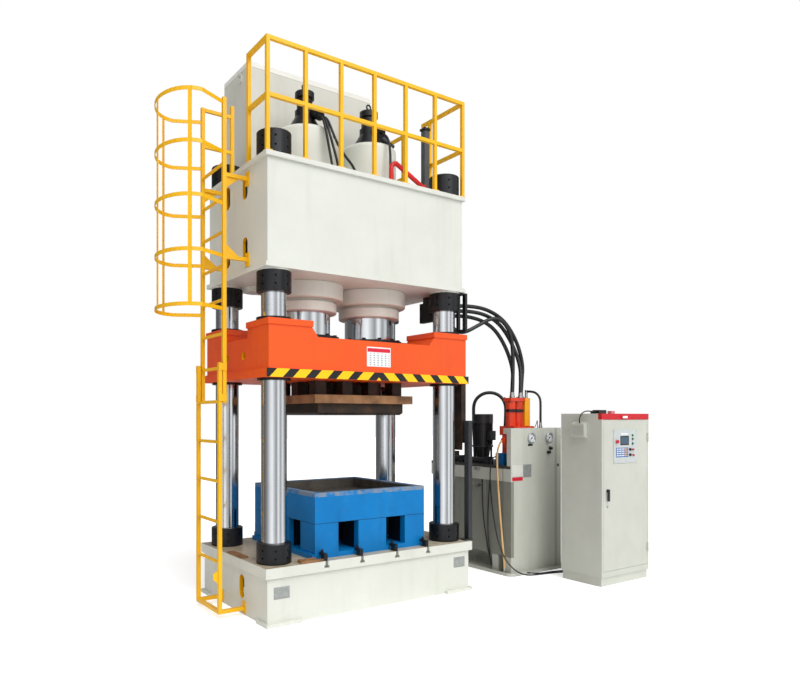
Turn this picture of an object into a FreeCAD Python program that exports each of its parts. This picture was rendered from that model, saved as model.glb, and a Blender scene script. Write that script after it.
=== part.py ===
"""Four-column hydraulic press with its dies, ladder, platform, power pack and control cabinet.

Millimetres. Origin on the floor at the centre of the press, +X to the right along its front,
+Y to its back, +Z up.
"""
import math
import os

import FreeCAD
import Part

V = FreeCAD.Vector
Z_AXIS = V(0, 0, 1)

# Frame: bed, columns, crown
BED_HALF_X = 1136
BED_HALF_Y = 688
BED_TOP = 478
BED_PLATE = 86
BED_WALL = 40
BED_INSET = 26
FOOT_HALF_X = 1134
FOOT_HALF_Y = 700
FOOT_LENGTH = 330
FOOT_THICK = 30
COLUMN_X = 954
COLUMN_Y = 480
COLUMN_R = 109
CROWN_HALF_X = 1104
CROWN_HALF_Y = 630
CROWN_BOTTOM = 2935
CROWN_TOP = 3880
CROWN_PLATE = 40
CROWN_INSET = 24
CROWN_WALL = 30
COLUMN_CLEAR = 0.5
NUT_R = 148
TOP_NUT_HEIGHT = 200
CROWN_NUT_HEIGHT = 176
BED_NUT_HEIGHT = 170
LOWER_NUT_HEIGHT = 110
LOWER_ROD_END = 10
SPACER_RING = 14
SLOT_WIDTH = 100
SLOT_HEIGHT = 205
SLOT_Y = 182
CROWN_SLOT_Z = (3160, 3694)
BED_SLOT_Z = 235
T_SLOT_X = (-557, -187, 201, 569)
T_SLOT_WIDTH = 28
T_SLOT_DEPTH = 40

# Main cylinders
CYL_X = 375
BARREL_R = 275
BARREL_TOP = 4385
LOCK_RING_R = 367
LOCK_RING_HEIGHT = 150
GLAND_R = 304
GLAND_HEIGHT = 92
RAM_R = 242
RAM_CLEAR = 0.05

# Hose ports of the prefill valves: offset from the cylinder axis, and where the port ends
PORT_X = {-1: 50, 1: 12}
PORT_END_Y = -200
PORT_END_Z = 4500

# Slide
SLIDE_BOTTOM = 2028
SLIDE_FLANGE = 72
SLIDE_FLANGE_HALF_X = 1115
SLIDE_FLANGE_HALF_Y = 662
SLIDE_BODY_HALF_X = 1090
SLIDE_BODY_HALF_Y = 648
SLIDE_TOP = 2380
PAD_TOP = 2462
PAD_PLATE = 50
PAD_LIP = 10
PAD_INNER_X = 681
PAD_SLOPE = 62
PAD_INNER_Y = 250
BUSH_R = 150
BUSH_HEIGHT = 22
BUSH_CLEAR = 0.06
SLIDE_RIB = 25
SIDE_HOLE_R = 38
SIDE_HOLE_Y = 172
SIDE_HOLE_Z = 2232
RAM_FLANGE_R = 330
RAM_FLANGE_HEIGHT = 70

# Dies
DIE_HALF_X = 610
DIE_HALF_Y = 580
DIE_BASE = 42
DIE_LEG_TOP = 780
DIE_TOP = 1045
DIE_WALL = 55
DIE_LINER = 22
DIE_FLOOR = 120
PUNCH_PLATE = (550, 480, 1825, 75)
PUNCH_CORE = (480, 415, 1720)

# Bypass pipe on the crown: its two feet
PIPE_X = (300, 700)

# Platform on the crown
RAIL = 32
RAIL_TOP = 4822
RAIL_MID = 4340
RAIL_INSET = 22
RAIL_BAYS = 6
RAIL_PLATE = 8
TANK_X = (-804, 639)
TANK_Y = (330, 900)
TANK_TOP = 5110

# Ladder
LADDER_STANDOFF = 164
LADDER_X = -(BED_HALF_X + LADDER_STANDOFF)
LADDER_HALF = 237
LADDER_TUBE = 32
LADDER_TOP = 4490
LADDER_LAP = (1820, 2160)
LADDER_OFFSET = 40
LOWER_RUNGS = (476, 814, 1158, 1490)
UPPER_RUNG_FIRST = 2120
RUNG_STEP = 288
RUNG_R = 14
CAGE_OUT = 240
CAGE_CENTRE_X = LADDER_X - CAGE_OUT
CAGE_HALF_X = 250
CAGE_HALF_Y = 345
CAGE_BAND = (6, 32)
CAGE_HOOPS = (2618, 3063, 3505, 3940, 4360)

# Power pack
PACK_X = (1885, 2720)
PACK_Y = (-510, 760)
PACK_BASE = 35
TRAY_FLOOR = 12
OIL_TANK_BOTTOM = 200
OIL_TANK_TOP = 1170
RIM_HEIGHT = 165
TANK_WALL = 8
PANEL_TOP = 1580
PANEL_X = (1885, 2632)
PANEL_DEPTH = 110
MOTOR_X = 2195
MOTOR_Y = 210
MOTOR_R = 118
BLOCK_X = (2052, 2378)
BLOCK_Y = (-400, -190)
BLOCK_TOP = 1915
GAUGE_X = (2198, 2490)
GAUGE_Z = 1471
GAUGE_R = 56

# Control cabinet
CAB_X = (2264, 3064)
CAB_Y = (-1350, -860)
CAB_TOP = 1736
CAB_PLINTH = 90
DOOR_GAP = 3
DOOR_THICK = 22
DOOR_SIDE = 28
DOOR_TOP = 1672

MAIN_HOSE_D = 42
PUMP_HOSE_D = 40
RETURN_HOSE_D = 26
DRAIN_HOSE_D = 22
SIGNAL_CABLE_D = 12
POWER_CABLE_D = 14
CABINET_CABLE_D = 12
VALVE_HOSE_D = 24

# Hose manifold under the crown
MANIFOLD_X = (960, 1010)
MANIFOLD_Y = (-326, -100)
MANIFOLD_Z = (2678, 2880)
FITTING_LENGTH = 60

KNOB_UPPER = (2512, 1352)
KNOB_LOWER = (2478, 1308)
DOOR_LOW = 150
SCREEN_X = (2450, 2846)
SCREEN_Z = (1232, 1572)
DISPLAY_X = (2562, 2705)
DISPLAY_Z = (1415, 1505)
KEYPAD_X = (2490, 2690)
KEYPAD_Z = (1292, 1386)
CONTROL_R = 8
ESTOP_AT = (2494, 1452)
START_AT = (2770, 1366)
STOP_AT = (2774, 1308)
MODE_AT = (2718, 1368)
SPEED_AT = (2720, 1312)
CONTROL_SEATS = (ESTOP_AT, START_AT, STOP_AT, MODE_AT, SPEED_AT)
HINGE_X = CAB_X[1] - DOOR_SIDE + DOOR_GAP / 2
HINGE_Y = CAB_Y[0] - 9
HINGE_R = 8
HINGE_PIN_R = 4
HINGE_CLEAR = 0.06
HINGE_Z = (330, 1490)
HANDLE_X = 2352
HANDLE_Z = 960
VALVE_Y = -40
VALVE_Z = (1120, 935)

# Hose ends on the power pack: x, y, z of the seat and the hose's radius
FITTING_SEATS = (
    (2318, -265, BLOCK_TOP, MAIN_HOSE_D / 2),
    (2240, -325, BLOCK_TOP, MAIN_HOSE_D / 2),
    (2175, -265, BLOCK_TOP, MAIN_HOSE_D / 2),
    (2110, -320, BLOCK_TOP, MAIN_HOSE_D / 2),
    (2415, -460, PANEL_TOP, RETURN_HOSE_D / 2),
    (2262, 404, OIL_TANK_TOP, PUMP_HOSE_D / 2),
    (2420, 90, OIL_TANK_TOP, PUMP_HOSE_D / 2),
)
MANIFOLD_PORTS = ((-240, 2835), (-185, 2785), (-140, 2732), (-294, 2712))
PORT_OUT = MANIFOLD_X[1] + FITTING_LENGTH
BLOCK_OUT = BLOCK_TOP + FITTING_LENGTH
LID_OUT = OIL_TANK_TOP + FITTING_LENGTH
ELBOW_AT = (2358, -306, 1990)

# Routes of the hoses and cables, one point at each change of direction
MAIN_ROUTES = (
    ((PORT_OUT, -240, 2835), (1270, -205, 2868), (1560, -140, 2915), (1840, -180, 2905), (2110, -205, 2795),
     (2285, -235, 2560), (2362, -255, 2300), (2335, -262, 2130), (2318, -265, BLOCK_OUT)),
    ((PORT_OUT, -185, 2785), (1270, -150, 2815), (1560, -120, 2865), (1840, -170, 2845), (2060, -200, 2740),
     (2215, -235, 2520), (2285, -280, 2290), (2262, -312, 2120), (2240, -325, BLOCK_OUT)),
    ((PORT_OUT, -140, 2732), (1270, -105, 2765), (1540, -60, 2818), (1790, -120, 2795), (1990, -165, 2700),
     (2130, -205, 2500), (2205, -240, 2270), (2190, -260, 2110), (2175, -265, BLOCK_OUT)),
    ((PORT_OUT, -294, 2712), (1290, -240, 2640), (1520, -150, 2602), (1740, -190, 2715), (1870, -222, 2790),
     (1985, -252, 2792), (2075, -278, 2715), (2125, -296, 2600), (2138, -306, 2430), (2135, -312, 2240),
     (2120, -318, 2095), (2110, -320, BLOCK_OUT)),
)
PUMP_ROUTE = ((2262, 404, LID_OUT), (2242, 402, 1460), (2232, 400, 1700), (2232, 400, 1890), (2312, 323, 1995),
              (2426, 214, 1995), (2506, 138, 1885), (2496, 130, 1690), (2450, 105, 1480), (2420, 90, LID_OUT))
RETURN_ROUTE = ((2363, -320, 1990), (2385, -378, 1990), (2404, -428, 1959), (2415, -457, 1905), (2417, -459, 1840),
                (2414, -461, 1740), (2415, -460, PANEL_TOP + FITTING_LENGTH))
DRAIN_ROUTE = ((1866, -395, 1448), (1850, -362, 1392), (1846, -345, 1280), (1848, -350, 1090), (1850, -372, 800),
               (1851, -405, 480), (1850, -440, 190), (1850, -452, 80))
VALVE_ROUTES = (
    ((-351, PORT_END_Y, PORT_END_Z), (-351, -272, 4459), (-350, -320, 4378), (-340, -342, 4270), (-322, -352, 4150),
     (-302, -360, 4040), (-292, -364, 3960), (-292, -364, CROWN_TOP)),
    ((-325, PORT_END_Y, PORT_END_Z), (-325, -272, 4459), (-322, -320, 4378), (-304, -342, 4272), (-274, -354, 4160),
     (-242, -362, 4050), (-226, -366, 3962), (-226, -366, CROWN_TOP)),
    ((-299, PORT_END_Y, PORT_END_Z), (-299, -272, 4459), (-292, -320, 4380), (-266, -344, 4280), (-222, -360, 4185),
     (-160, -374, 4100), (-92, -386, 4035), (-50, -392, 3962), (-50, -392, CROWN_TOP)),
    ((387, PORT_END_Y, PORT_END_Z), (387, -272, 4459), (390, -320, 4378), (392, -336, 4270), (388, -342, 4150),
     (382, -345, 4040), (380, -346, 3962), (380, -346, CROWN_TOP)),
)
SIGNAL_ROUTES = (
    ((1893, -80, OIL_TANK_TOP - RIM_HEIGHT), (1887, -84, 880), (1883, -94, 720), (1881, -112, 560), (1881, -140, 410),
     (1884, -168, 280), (1894, -188, 160), (1910, -198, 60)),
    ((1893, -192, OIL_TANK_TOP - RIM_HEIGHT), (1887, -188, 880), (1883, -180, 720), (1881, -176, 560), (1882, -178, 410),
     (1885, -192, 270), (1889, -206, 160), (1896, -216, 60)),
)
POWER_ROUTES = (
    ((1960, -262, 1262), (1905, -258, 1270), (1858, -252, 1228), (1848, -246, 1150), (1850, -238, 1040),
     (1852, -244, 900), (1851, -266, 750), (1842, -300, 600), (1830, -346, 455), (1822, -400, 325), (1820, -462, 215),
     (1838, -535, 120), (1900, -600, 50), (1995, -628, 16), (2130, -645, 9), (2290, -664, 7.2), (2440, -700, 7.2),
     (2560, -770, 12), (2620, -830, 30), (2640, CAB_Y[1] - 12, 45)),
    ((2080, PACK_Y[0] - 50, 22), (2120, -590, 14), (2210, -618, 8), (2350, -628, 7.2), (2500, -660, 7.2),
     (2630, -730, 10), (2700, -800, 28), (2720, CAB_Y[1] - 12, 45)),
)
CABINET_ROUTE = ((2420, -1170, 1757), (2345, -1166, 1760), (2275, -1158, 1764), (2224, -1146, 1742), (2204, -1132, 1692),
                 (2218, -1122, 1650), (2238, -1116, 1632))


def box(x, y, z):
    """A block between two x values, two y values and two z values."""
    return Part.makeBox(x[1] - x[0], y[1] - y[0], z[1] - z[0], V(x[0], y[0], z[0]))


def rod(x, y, z, r):
    """An upright cylinder from z[0] to z[1]."""
    return Part.makeCylinder(r, z[1] - z[0], V(x, y, z[0]))


def rod_between(a, b, r):
    """A round bar between two points."""
    start = V(*a)
    along = V(*b).sub(start)
    return Part.makeCylinder(r, along.Length, start, along)


def cone(x, y, z, r_low, r_high):
    """An upright cone from z[0] to z[1]."""
    return Part.makeCone(r_low, r_high, z[1] - z[0], V(x, y, z[0]))


def ring(x, y, z, r_out, r_in):
    """An upright tube."""
    return rod(x, y, z, r_out).cut(rod(x, y, (z[0] - 1, z[1] + 1), r_in))


def join(pieces):
    """Pieces welded into one solid."""
    whole = pieces[0].multiFuse(pieces[1:]) if len(pieces) > 1 else pieces[0]
    return whole.removeSplitter()


def prism(outline, axis, start, length):
    """An outline given in the plane across an axis, drawn out along it."""
    if axis == "x":
        points = [V(start, a, b) for a, b in outline]
        along = V(length, 0, 0)
    elif axis == "y":
        points = [V(a, start, b) for a, b in outline]
        along = V(0, length, 0)
    else:
        points = [V(a, b, start) for a, b in outline]
        along = V(0, 0, length)
    return Part.Face(Part.makePolygon(points + [points[0]])).extrude(along)


def obround_x(x, y, z, width, height):
    """An upright obround bar along X, for a slot in a side wall."""
    r = width / 2
    half = height / 2 - r
    core = box(x, (y - r, y + r), (z - half, z + half))
    ends = [Part.makeCylinder(r, x[1] - x[0], V(x[0], y, z + s * half), V(1, 0, 0)) for s in (-1, 1)]
    return join([core] + ends)


def square_tube(a, b, size):
    """A square bar between two points that differ along one axis only."""
    h = size / 2
    spans = [tuple(sorted((p, q))) if p != q else (p - h, p + h) for p, q in zip(a, b)]
    return box(*spans)


def flat_bolt(x, y, z, r, height):
    """A hexagon bolt head standing on a face."""
    corners = [(x + r * math.cos(math.radians(60 * i)), y + r * math.sin(math.radians(60 * i))) for i in range(6)]
    return prism(corners, "z", z, height)


def columns_xy():
    return [(sx * COLUMN_X, sy * COLUMN_Y) for sx in (-1, 1) for sy in (-1, 1)]


def save(name, solids):
    """Writes the node's solids as one STEP file."""
    shape = solids[0] if len(solids) == 1 else Part.makeCompound(solids)
    shape.exportStep(f"parts/{name}.step")
    print(f"{name}: {len(shape.Solids)} solid(s), {shape.Volume / 1e9:.4f} m3, valid {shape.isValid()}")


# ---------------------------------------------------------------- cords

def cord(points, diameter, name):
    """A hose along straight runs joined by tangent arcs, each as large as its two runs allow."""
    pts = [V(*p) for p in points]
    edges = []
    start = pts[0]
    radii = []
    for before, corner, after in zip(pts, pts[1:], pts[2:]):
        incoming = corner.sub(before)
        outgoing = after.sub(corner)
        turn = incoming.getAngle(outgoing)
        setback = 0.45 * min(incoming.Length, outgoing.Length)
        radii.append(setback / math.tan(turn / 2))
        u = V(incoming).normalize()
        w = V(outgoing).normalize()
        enter = corner.sub(u * setback)
        leave = corner.add(w * setback)
        inward = V(w.sub(u)).normalize()
        to_centre = radii[-1] / math.cos(turn / 2)
        middle = corner.add(inward * (to_centre - radii[-1]))
        edges.append(Part.LineSegment(start, enter).toShape())
        edges.append(Part.Arc(enter, middle, leave).toShape())
        start = leave
    edges.append(Part.LineSegment(start, pts[-1]).toShape())
    path = Part.Wire(edges)
    first = pts[1].sub(pts[0])
    section = Part.Wire(Part.makeCircle(diameter / 2, pts[0], first))
    tube = path.makePipeShell([section], True, True)
    expected = math.pi * diameter ** 2 / 4 * path.Length
    tightest = min(radii) / diameter
    print(f"  cord {name}: length {path.Length:.0f}, radii {[round(r) for r in radii]}, "
          f"tightest {tightest:.1f} d, volume/expected {tube.Volume / expected:.4f}")
    return tube


# ---------------------------------------------------------------- frame

def make_bed():
    """Welded bed: thick top plate with T-slots, walls, ribs, corner feet and lifting slots."""
    wall_x = BED_HALF_X - BED_INSET
    wall_y = BED_HALF_Y - BED_INSET
    under = BED_TOP - BED_PLATE
    plate = box((-BED_HALF_X, BED_HALF_X), (-BED_HALF_Y, BED_HALF_Y), (under, BED_TOP))
    shell = box((-wall_x, wall_x), (-wall_y, wall_y), (0, under + 1))
    hollow = box((-wall_x + BED_WALL, wall_x - BED_WALL), (-wall_y + BED_WALL, wall_y - BED_WALL), (-1, under))
    shell = shell.cut(hollow)
    ribs = [box((x - 15, x + 15), (-wall_y + 5, wall_y - 5), (0, under + 1)) for x in (-600, 0, 600)]
    feet = []
    for sx in (-1, 1):
        for sy in (-1, 1):
            x = sorted((sx * FOOT_HALF_X, sx * (FOOT_HALF_X - FOOT_LENGTH)))
            y = sorted((sy * FOOT_HALF_Y, sy * (FOOT_HALF_Y - 200)))
            feet.append(box(x, y, (0, FOOT_THICK)))
    body = join([plate, shell] + ribs + feet)
    for x, y in columns_xy():
        body = body.cut(rod(x, y, (under - 10, BED_TOP + 10), COLUMN_R + COLUMN_CLEAR))
        body = body.cut(rod(x, y, (under - LOWER_NUT_HEIGHT - LOWER_ROD_END - 2, under), NUT_R + 1))
    for x in T_SLOT_X:
        half = T_SLOT_WIDTH / 2
        neck = box((x - half, x + half), (-BED_HALF_Y - 5, BED_HALF_Y + 5), (BED_TOP - T_SLOT_DEPTH, BED_TOP + 5))
        deep = (BED_TOP - T_SLOT_DEPTH - 18, BED_TOP - T_SLOT_DEPTH + 4)
        foot = box((x - half - 12, x + half + 12), (-BED_HALF_Y - 5, BED_HALF_Y + 5), deep)
        body = body.cut(neck).cut(foot)
    for side in (-1, 1):
        x = sorted((side * (wall_x - BED_WALL - 5), side * (wall_x + 5)))
        body = body.cut(obround_x(x, -SLOT_Y, BED_SLOT_Z, SLOT_WIDTH, SLOT_HEIGHT))
    return body


def make_columns():
    """Four turned tie rods from under the bed's plate to the top of the crown nuts, with shallow grooves."""
    low = BED_TOP - BED_PLATE - LOWER_NUT_HEIGHT - LOWER_ROD_END
    high = CROWN_TOP + TOP_NUT_HEIGHT + 6
    shapes = []
    for x, y in columns_xy():
        shape = rod(x, y, (low, high), COLUMN_R)
        for z in (1130, PAD_TOP + 120, PAD_TOP + 165, PAD_TOP + 210):
            groove = rod(x, y, (z, z + 6), COLUMN_R + 5).cut(rod(x, y, (z - 1, z + 7), COLUMN_R - 4))
            shape = shape.cut(groove)
        shapes.append(shape)
    return shapes


def column_nut(x, y, z, height):
    """A split round nut with spanner holes round its rim."""
    nut = ring(x, y, (z, z + height), NUT_R, COLUMN_R + COLUMN_CLEAR)
    for k in range(8):
        angle = math.radians(22.5 + 45 * k)
        out = V(math.cos(angle), math.sin(angle), 0)
        for level in (0.32, 0.7):
            centre = V(x, y, z + height * level)
            hole = Part.makeCylinder(9, 30, centre.add(out * (NUT_R - 22)), out)
            nut = nut.cut(hole)
    edge = [e for e in nut.Edges if abs(e.Length - 2 * math.pi * NUT_R) < 1]
    return nut.makeChamfer(4, edge)


def make_column_nuts():
    nuts = []
    for x, y in columns_xy():
        nuts.append(column_nut(x, y, BED_TOP, BED_NUT_HEIGHT))
        nuts.append(column_nut(x, y, CROWN_BOTTOM - SPACER_RING - CROWN_NUT_HEIGHT, CROWN_NUT_HEIGHT))
        nuts.append(column_nut(x, y, CROWN_TOP, TOP_NUT_HEIGHT))
        nuts.append(column_nut(x, y, BED_TOP - BED_PLATE - LOWER_NUT_HEIGHT, LOWER_NUT_HEIGHT))
    return nuts


def make_crown():
    """Welded box beam with column sleeves, cylinder housings, lifting slots and machined seats below."""
    wall_x = CROWN_HALF_X - CROWN_INSET
    wall_y = CROWN_HALF_Y - CROWN_INSET
    inner_z = (CROWN_BOTTOM + CROWN_PLATE, CROWN_TOP - CROWN_PLATE)
    walls = box((-wall_x, wall_x), (-wall_y, wall_y), (inner_z[0] - 1, inner_z[1] + 1))
    hollow_x = (-wall_x + CROWN_WALL, wall_x - CROWN_WALL)
    hollow_y = (-wall_y + CROWN_WALL, wall_y - CROWN_WALL)
    walls = walls.cut(box(hollow_x, hollow_y, inner_z))
    pieces = [walls]
    for z in ((CROWN_BOTTOM, inner_z[0]), (inner_z[1], CROWN_TOP)):
        pieces.append(box((-CROWN_HALF_X, CROWN_HALF_X), (-CROWN_HALF_Y, CROWN_HALF_Y), z))
    for x, y in columns_xy():
        sleeve = rod(x, y, (inner_z[0] - 1, inner_z[1] + 1), COLUMN_R + 40)
        pieces.append(sleeve.common(box((-wall_x, wall_x), (-wall_y, wall_y), (CROWN_BOTTOM, CROWN_TOP))))
        pieces.append(rod(x, y, (CROWN_BOTTOM - SPACER_RING, CROWN_BOTTOM + 1), NUT_R - 6))
    for side in (-1, 1):
        pieces.append(rod(side * CYL_X, 0, (inner_z[0] - 1, inner_z[1] + 1), BARREL_R + 45))
        pieces.append(rod(side * 750, 300, (CROWN_BOTTOM - 50, CROWN_BOTTOM + 1), 100))
    pieces.append(box((-15, 15), (-wall_y + 5, wall_y - 5), (inner_z[0] - 1, inner_z[1] + 1)))
    body = join(pieces)
    for x, y in columns_xy():
        body = body.cut(rod(x, y, (CROWN_BOTTOM - 100, CROWN_TOP + 10), COLUMN_R + COLUMN_CLEAR))
    for side in (-1, 1):
        body = body.cut(rod(side * CYL_X, 0, (CROWN_BOTTOM - 100, CROWN_TOP + 10), BARREL_R + 0.3))
        x = sorted((side * (wall_x - CROWN_WALL - 5), side * (wall_x + 5)))
        for y in (-SLOT_Y, SLOT_Y):
            for z in CROWN_SLOT_Z:
                body = body.cut(obround_x(x, y, z, SLOT_WIDTH, SLOT_HEIGHT))
    return body


def make_cylinders():
    """Two main cylinders: barrel through the crown, domed edge on top, closed head, open below."""
    shapes = []
    for side in (-1, 1):
        x = side * CYL_X
        outer = rod(x, 0, (CROWN_BOTTOM - LOCK_RING_HEIGHT - 20, BARREL_TOP), BARREL_R)
        rim = [e for e in outer.Edges if abs(e.Vertexes[0].Z - BARREL_TOP) < 1 and e.Length > 1000]
        outer = outer.makeFillet(45, rim)
        low = CROWN_BOTTOM - LOCK_RING_HEIGHT - 21
        shapes.append(outer.cut(rod(x, 0, (low, BARREL_TOP - 120), RAM_R + 1)))
    return shapes


def make_cylinder_rings():
    """Lock ring under the crown and gland ring below it, on each cylinder."""
    shapes = []
    for side in (-1, 1):
        x = side * CYL_X
        lock = (CROWN_BOTTOM - LOCK_RING_HEIGHT, CROWN_BOTTOM)
        shape = ring(x, 0, lock, LOCK_RING_R, BARREL_R + 0.3)
        edges = [e for e in shape.Edges if abs(e.Length - 2 * math.pi * LOCK_RING_R) < 1]
        shapes.append(shape.makeChamfer(8, edges))
        step = lock[0] - 20
        gland = ring(x, 0, (step - GLAND_HEIGHT, step), GLAND_R, RAM_R + 1)
        edges = [e for e in gland.Edges if abs(e.Length - 2 * math.pi * GLAND_R) < 1]
        shapes.append(gland.makeChamfer(6, edges))
    return shapes


def make_rams():
    """Two chromed rams, long enough to stay in their barrels over the whole stroke."""
    return [rod(side * CYL_X, 0, (SLIDE_TOP, BARREL_TOP - 420), RAM_R) for side in (-1, 1)]


def make_ram_flanges():
    """Split flanges that bolt each ram to the slide."""
    shapes = []
    for side in (-1, 1):
        x = side * CYL_X
        shapes.append(ring(x, 0, (SLIDE_TOP, SLIDE_TOP + RAM_FLANGE_HEIGHT), RAM_FLANGE_R, RAM_R + 0.3))
        for k in range(12):
            angle = math.radians(15 + 30 * k)
            bx = x + (RAM_FLANGE_R - 36) * math.cos(angle)
            by = (RAM_FLANGE_R - 36) * math.sin(angle)
            shapes.append(flat_bolt(bx, by, SLIDE_TOP + RAM_FLANGE_HEIGHT, 21, 18))
    return shapes


def make_prefill_valves():
    """Prefill valve on each cylinder: flared base, body, cap, eye bolt and hose port."""
    shapes = []
    for side in (-1, 1):
        x = side * CYL_X
        top = BARREL_TOP
        flange = rod(x, 0, (top, top + 30), 175)
        bell = cone(x, 0, (top + 29, top + 150), 165, 92)
        neck = rod(x, 0, (top + 149, top + 210), 92)
        body = rod(x, 0, (top + 209, top + 330), 74)
        cap = rod(x, 0, (top + 329, top + 385), 92)
        knob = rod(x, 0, (top + 384, top + 412), 30)
        port = rod_between((x + PORT_X[side], -95, top + 175), (x + PORT_X[side], PORT_END_Y, PORT_END_Z), 46)
        pieces = [flange, bell, neck, body, cap, knob, port]
        if side > 0:
            pieces.append(rod_between((x + 60, 0, top + 190), (x + 205, -40, top + 95), 52))
            pieces.append(rod_between((x + 198, -39, top + 102), (x + 262, -52, top + 62), 40))
        shapes.append(join(pieces))
        eye = Part.makeTorus(24, 8, V(x, 0, top + 412 + 30), V(0, 1, 0))
        shank = rod(x, 0, (top + 412, top + 416), 14)
        shapes.append(join([eye, shank]))
    return shapes


def make_filling_tank():
    """Oil filling tank behind the cylinders, on two brackets over the crown's back edge."""
    x = TANK_X
    y = TANK_Y
    wall = 8
    shell = box(x, y, (CROWN_TOP, TANK_TOP))
    edges = [e for e in shell.Edges if abs(e.Vertexes[0].Z - e.Vertexes[-1].Z) > 100]
    shell = shell.makeFillet(12, edges)
    shapes = [shell.cut(box((x[0] + wall, x[1] - wall), (y[0] + wall, y[1] - wall), (CROWN_TOP + wall, TANK_TOP - wall)))]
    for at in (x[0] + 180, x[1] - 180):
        outline = [(CROWN_HALF_Y, CROWN_TOP - 12), (y[1], CROWN_TOP - 12), (y[1], CROWN_TOP), (CROWN_HALF_Y, CROWN_TOP)]
        shelf = prism(outline, "x", at - 60, 120)
        gusset = [(CROWN_HALF_Y, CROWN_TOP - 260), (CROWN_HALF_Y + 30, CROWN_TOP - 260), (y[1] - 20, CROWN_TOP - 12),
                  (CROWN_HALF_Y, CROWN_TOP - 12)]
        back_wall = box((at - 60, at + 60), (CROWN_HALF_Y - CROWN_INSET, CROWN_HALF_Y + 12),
                        (CROWN_TOP - 280, CROWN_TOP - CROWN_PLATE))
        shapes.append(join([shelf, prism(gusset, "x", at - 6, 12), back_wall]))
    for lug_x in x:
        side = -1 if lug_x == x[0] else 1
        plate = [(y[0] + 130, TANK_TOP - 150), (y[0] + 190, TANK_TOP - 150), (y[0] + 190, TANK_TOP - 90),
                 (y[0] + 160, TANK_TOP - 60), (y[0] + 130, TANK_TOP - 90)]
        thick = 14
        lug = prism(plate, "x", lug_x if side > 0 else lug_x - thick, thick)
        hole = Part.makeCylinder(13, thick + 4, V(lug_x - thick - 2, y[0] + 160, TANK_TOP - 100), V(1, 0, 0))
        shapes.append(lug.cut(hole) if side < 0 else lug)
    lid = box((x[0] + 450, x[1] - 450), (y[0] + 120, y[1] - 120), (TANK_TOP, TANK_TOP + 14))
    shapes.append(lid)
    return shapes


def make_bypass_pipe():
    """Red pipe loop on the crown between the right cylinder and the front rail, with its flanges."""
    y = -470
    left, right = PIPE_X
    low = CROWN_TOP
    r = 22
    leg = Part.LineSegment(V(left, y, low), V(left, y, low + 170)).toShape()
    bend = Part.Arc(V(left, y, low + 170), V(left + 18, y, low + 212), V(left + 60, y, low + 230)).toShape()
    path = Part.Wire([leg, bend])
    circle = Part.Wire(Part.makeCircle(r, V(left, y, low), Z_AXIS))
    pipe = path.makePipeShell([circle], True, True)
    slope = rod_between((left + 60, y, low + 230), (right, y, low + 60), r)
    end = rod_between((right, y, low), (right, y, low + 74), r + 6)
    seat = rod(left, y, (low, low + 16), 46)
    seat_right = rod(right, y, (low, low + 16), 50)
    knee = Part.makeSphere(r + 1, V(left + 60, y, low + 229))
    knee_right = Part.makeSphere(r + 6, V(right, y, low + 66))
    return [join([pipe, slope, end, seat, seat_right, knee, knee_right])]


def railing_run(a, b, levels, size):
    return [square_tube((a[0], a[1], z), (b[0], b[1], z), size) for z in levels]


def make_railings():
    """Front, left-corner and right-side railing and the short rear right one, each bar a solid of its own."""
    x = CROWN_HALF_X - RAIL_INSET
    y = -CROWN_HALF_Y + RAIL_INSET
    rear = (290, CROWN_HALF_Y - RAIL_INSET)
    levels = (RAIL_MID, RAIL_TOP - RAIL / 2)
    foot = CROWN_TOP + RAIL_PLATE
    spots = [(-x + 2 * x * i / RAIL_BAYS, y) for i in range(RAIL_BAYS + 1)]
    spots += [(-x, -260), (x, -120), (x, rear[0] + RAIL), (x, rear[1])]
    runs = railing_run((-x, y), (x, y), levels, RAIL)
    for side_run in (((-x, y), (-x, -260)), ((x, y), (x, 0)), ((x, rear[0]), (x, rear[1]))):
        runs += [bar.cut(Part.makeCompound(runs[:2])) for bar in railing_run(*side_run, levels, RAIL)]
    solids = list(runs)
    nuts = Part.makeCompound([rod(cx, cy, (CROWN_TOP - 1, foot + 1), NUT_R + 2) for cx, cy in columns_xy()])
    for px, py in spots:
        post = square_tube((px, py, foot), (px, py, RAIL_TOP), RAIL)
        solids += post.cut(Part.makeCompound(runs)).Solids
        edge_x = CROWN_HALF_X - 2
        plate_x = (max(px - 40, -edge_x), min(px + 40, edge_x))
        plate_y = (max(py - 28, 2 - CROWN_HALF_Y), min(py + 40, CROWN_HALF_Y - 2))
        solids += box(plate_x, plate_y, (CROWN_TOP, foot)).cut(nuts).Solids
    return solids


# ---------------------------------------------------------------- ladder

def ladder_stile(x, y, z):
    return square_tube((x, y, z[0]), (x, y, z[1]), LADDER_TUBE)


def make_ladder_upper():
    """Upper ladder length with its arms and gussets to the crown's side."""
    x = LADDER_X
    h = LADDER_TUBE / 2
    low = LADDER_LAP[0]
    tops = {-1: LADDER_TOP - 90, 1: LADDER_TOP}
    pieces = [ladder_stile(x, s * LADDER_HALF, (low, tops[s])) for s in (-1, 1)]
    z = UPPER_RUNG_FIRST
    while z < LADDER_TOP - 600:
        pieces.append(rod_between((x, -LADDER_HALF, z), (x, LADDER_HALF, z), RUNG_R))
        z += RUNG_STEP
    wall = -(CROWN_HALF_X - CROWN_INSET)
    for s in (-1, 1):
        y = s * LADDER_HALF
        for z, side in ((3055, 1), (3750, -1)):
            pieces.append(square_tube((x, y, z), (wall, y, z), LADDER_TUBE))
            pieces.append(box((wall - 10, wall), (y - 35, y + 35), (z - 60, z + 60)))
            edge = z + side * h
            tip = z + side * 110
            outline = [(x + h, edge - side * 2), (x + h + 120, edge - side * 2), (x + h, tip)]
            if side < 0:
                outline.reverse()
            pieces.append(prism(outline, "y", y - 4, 8))
    return [join(pieces)]


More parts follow.
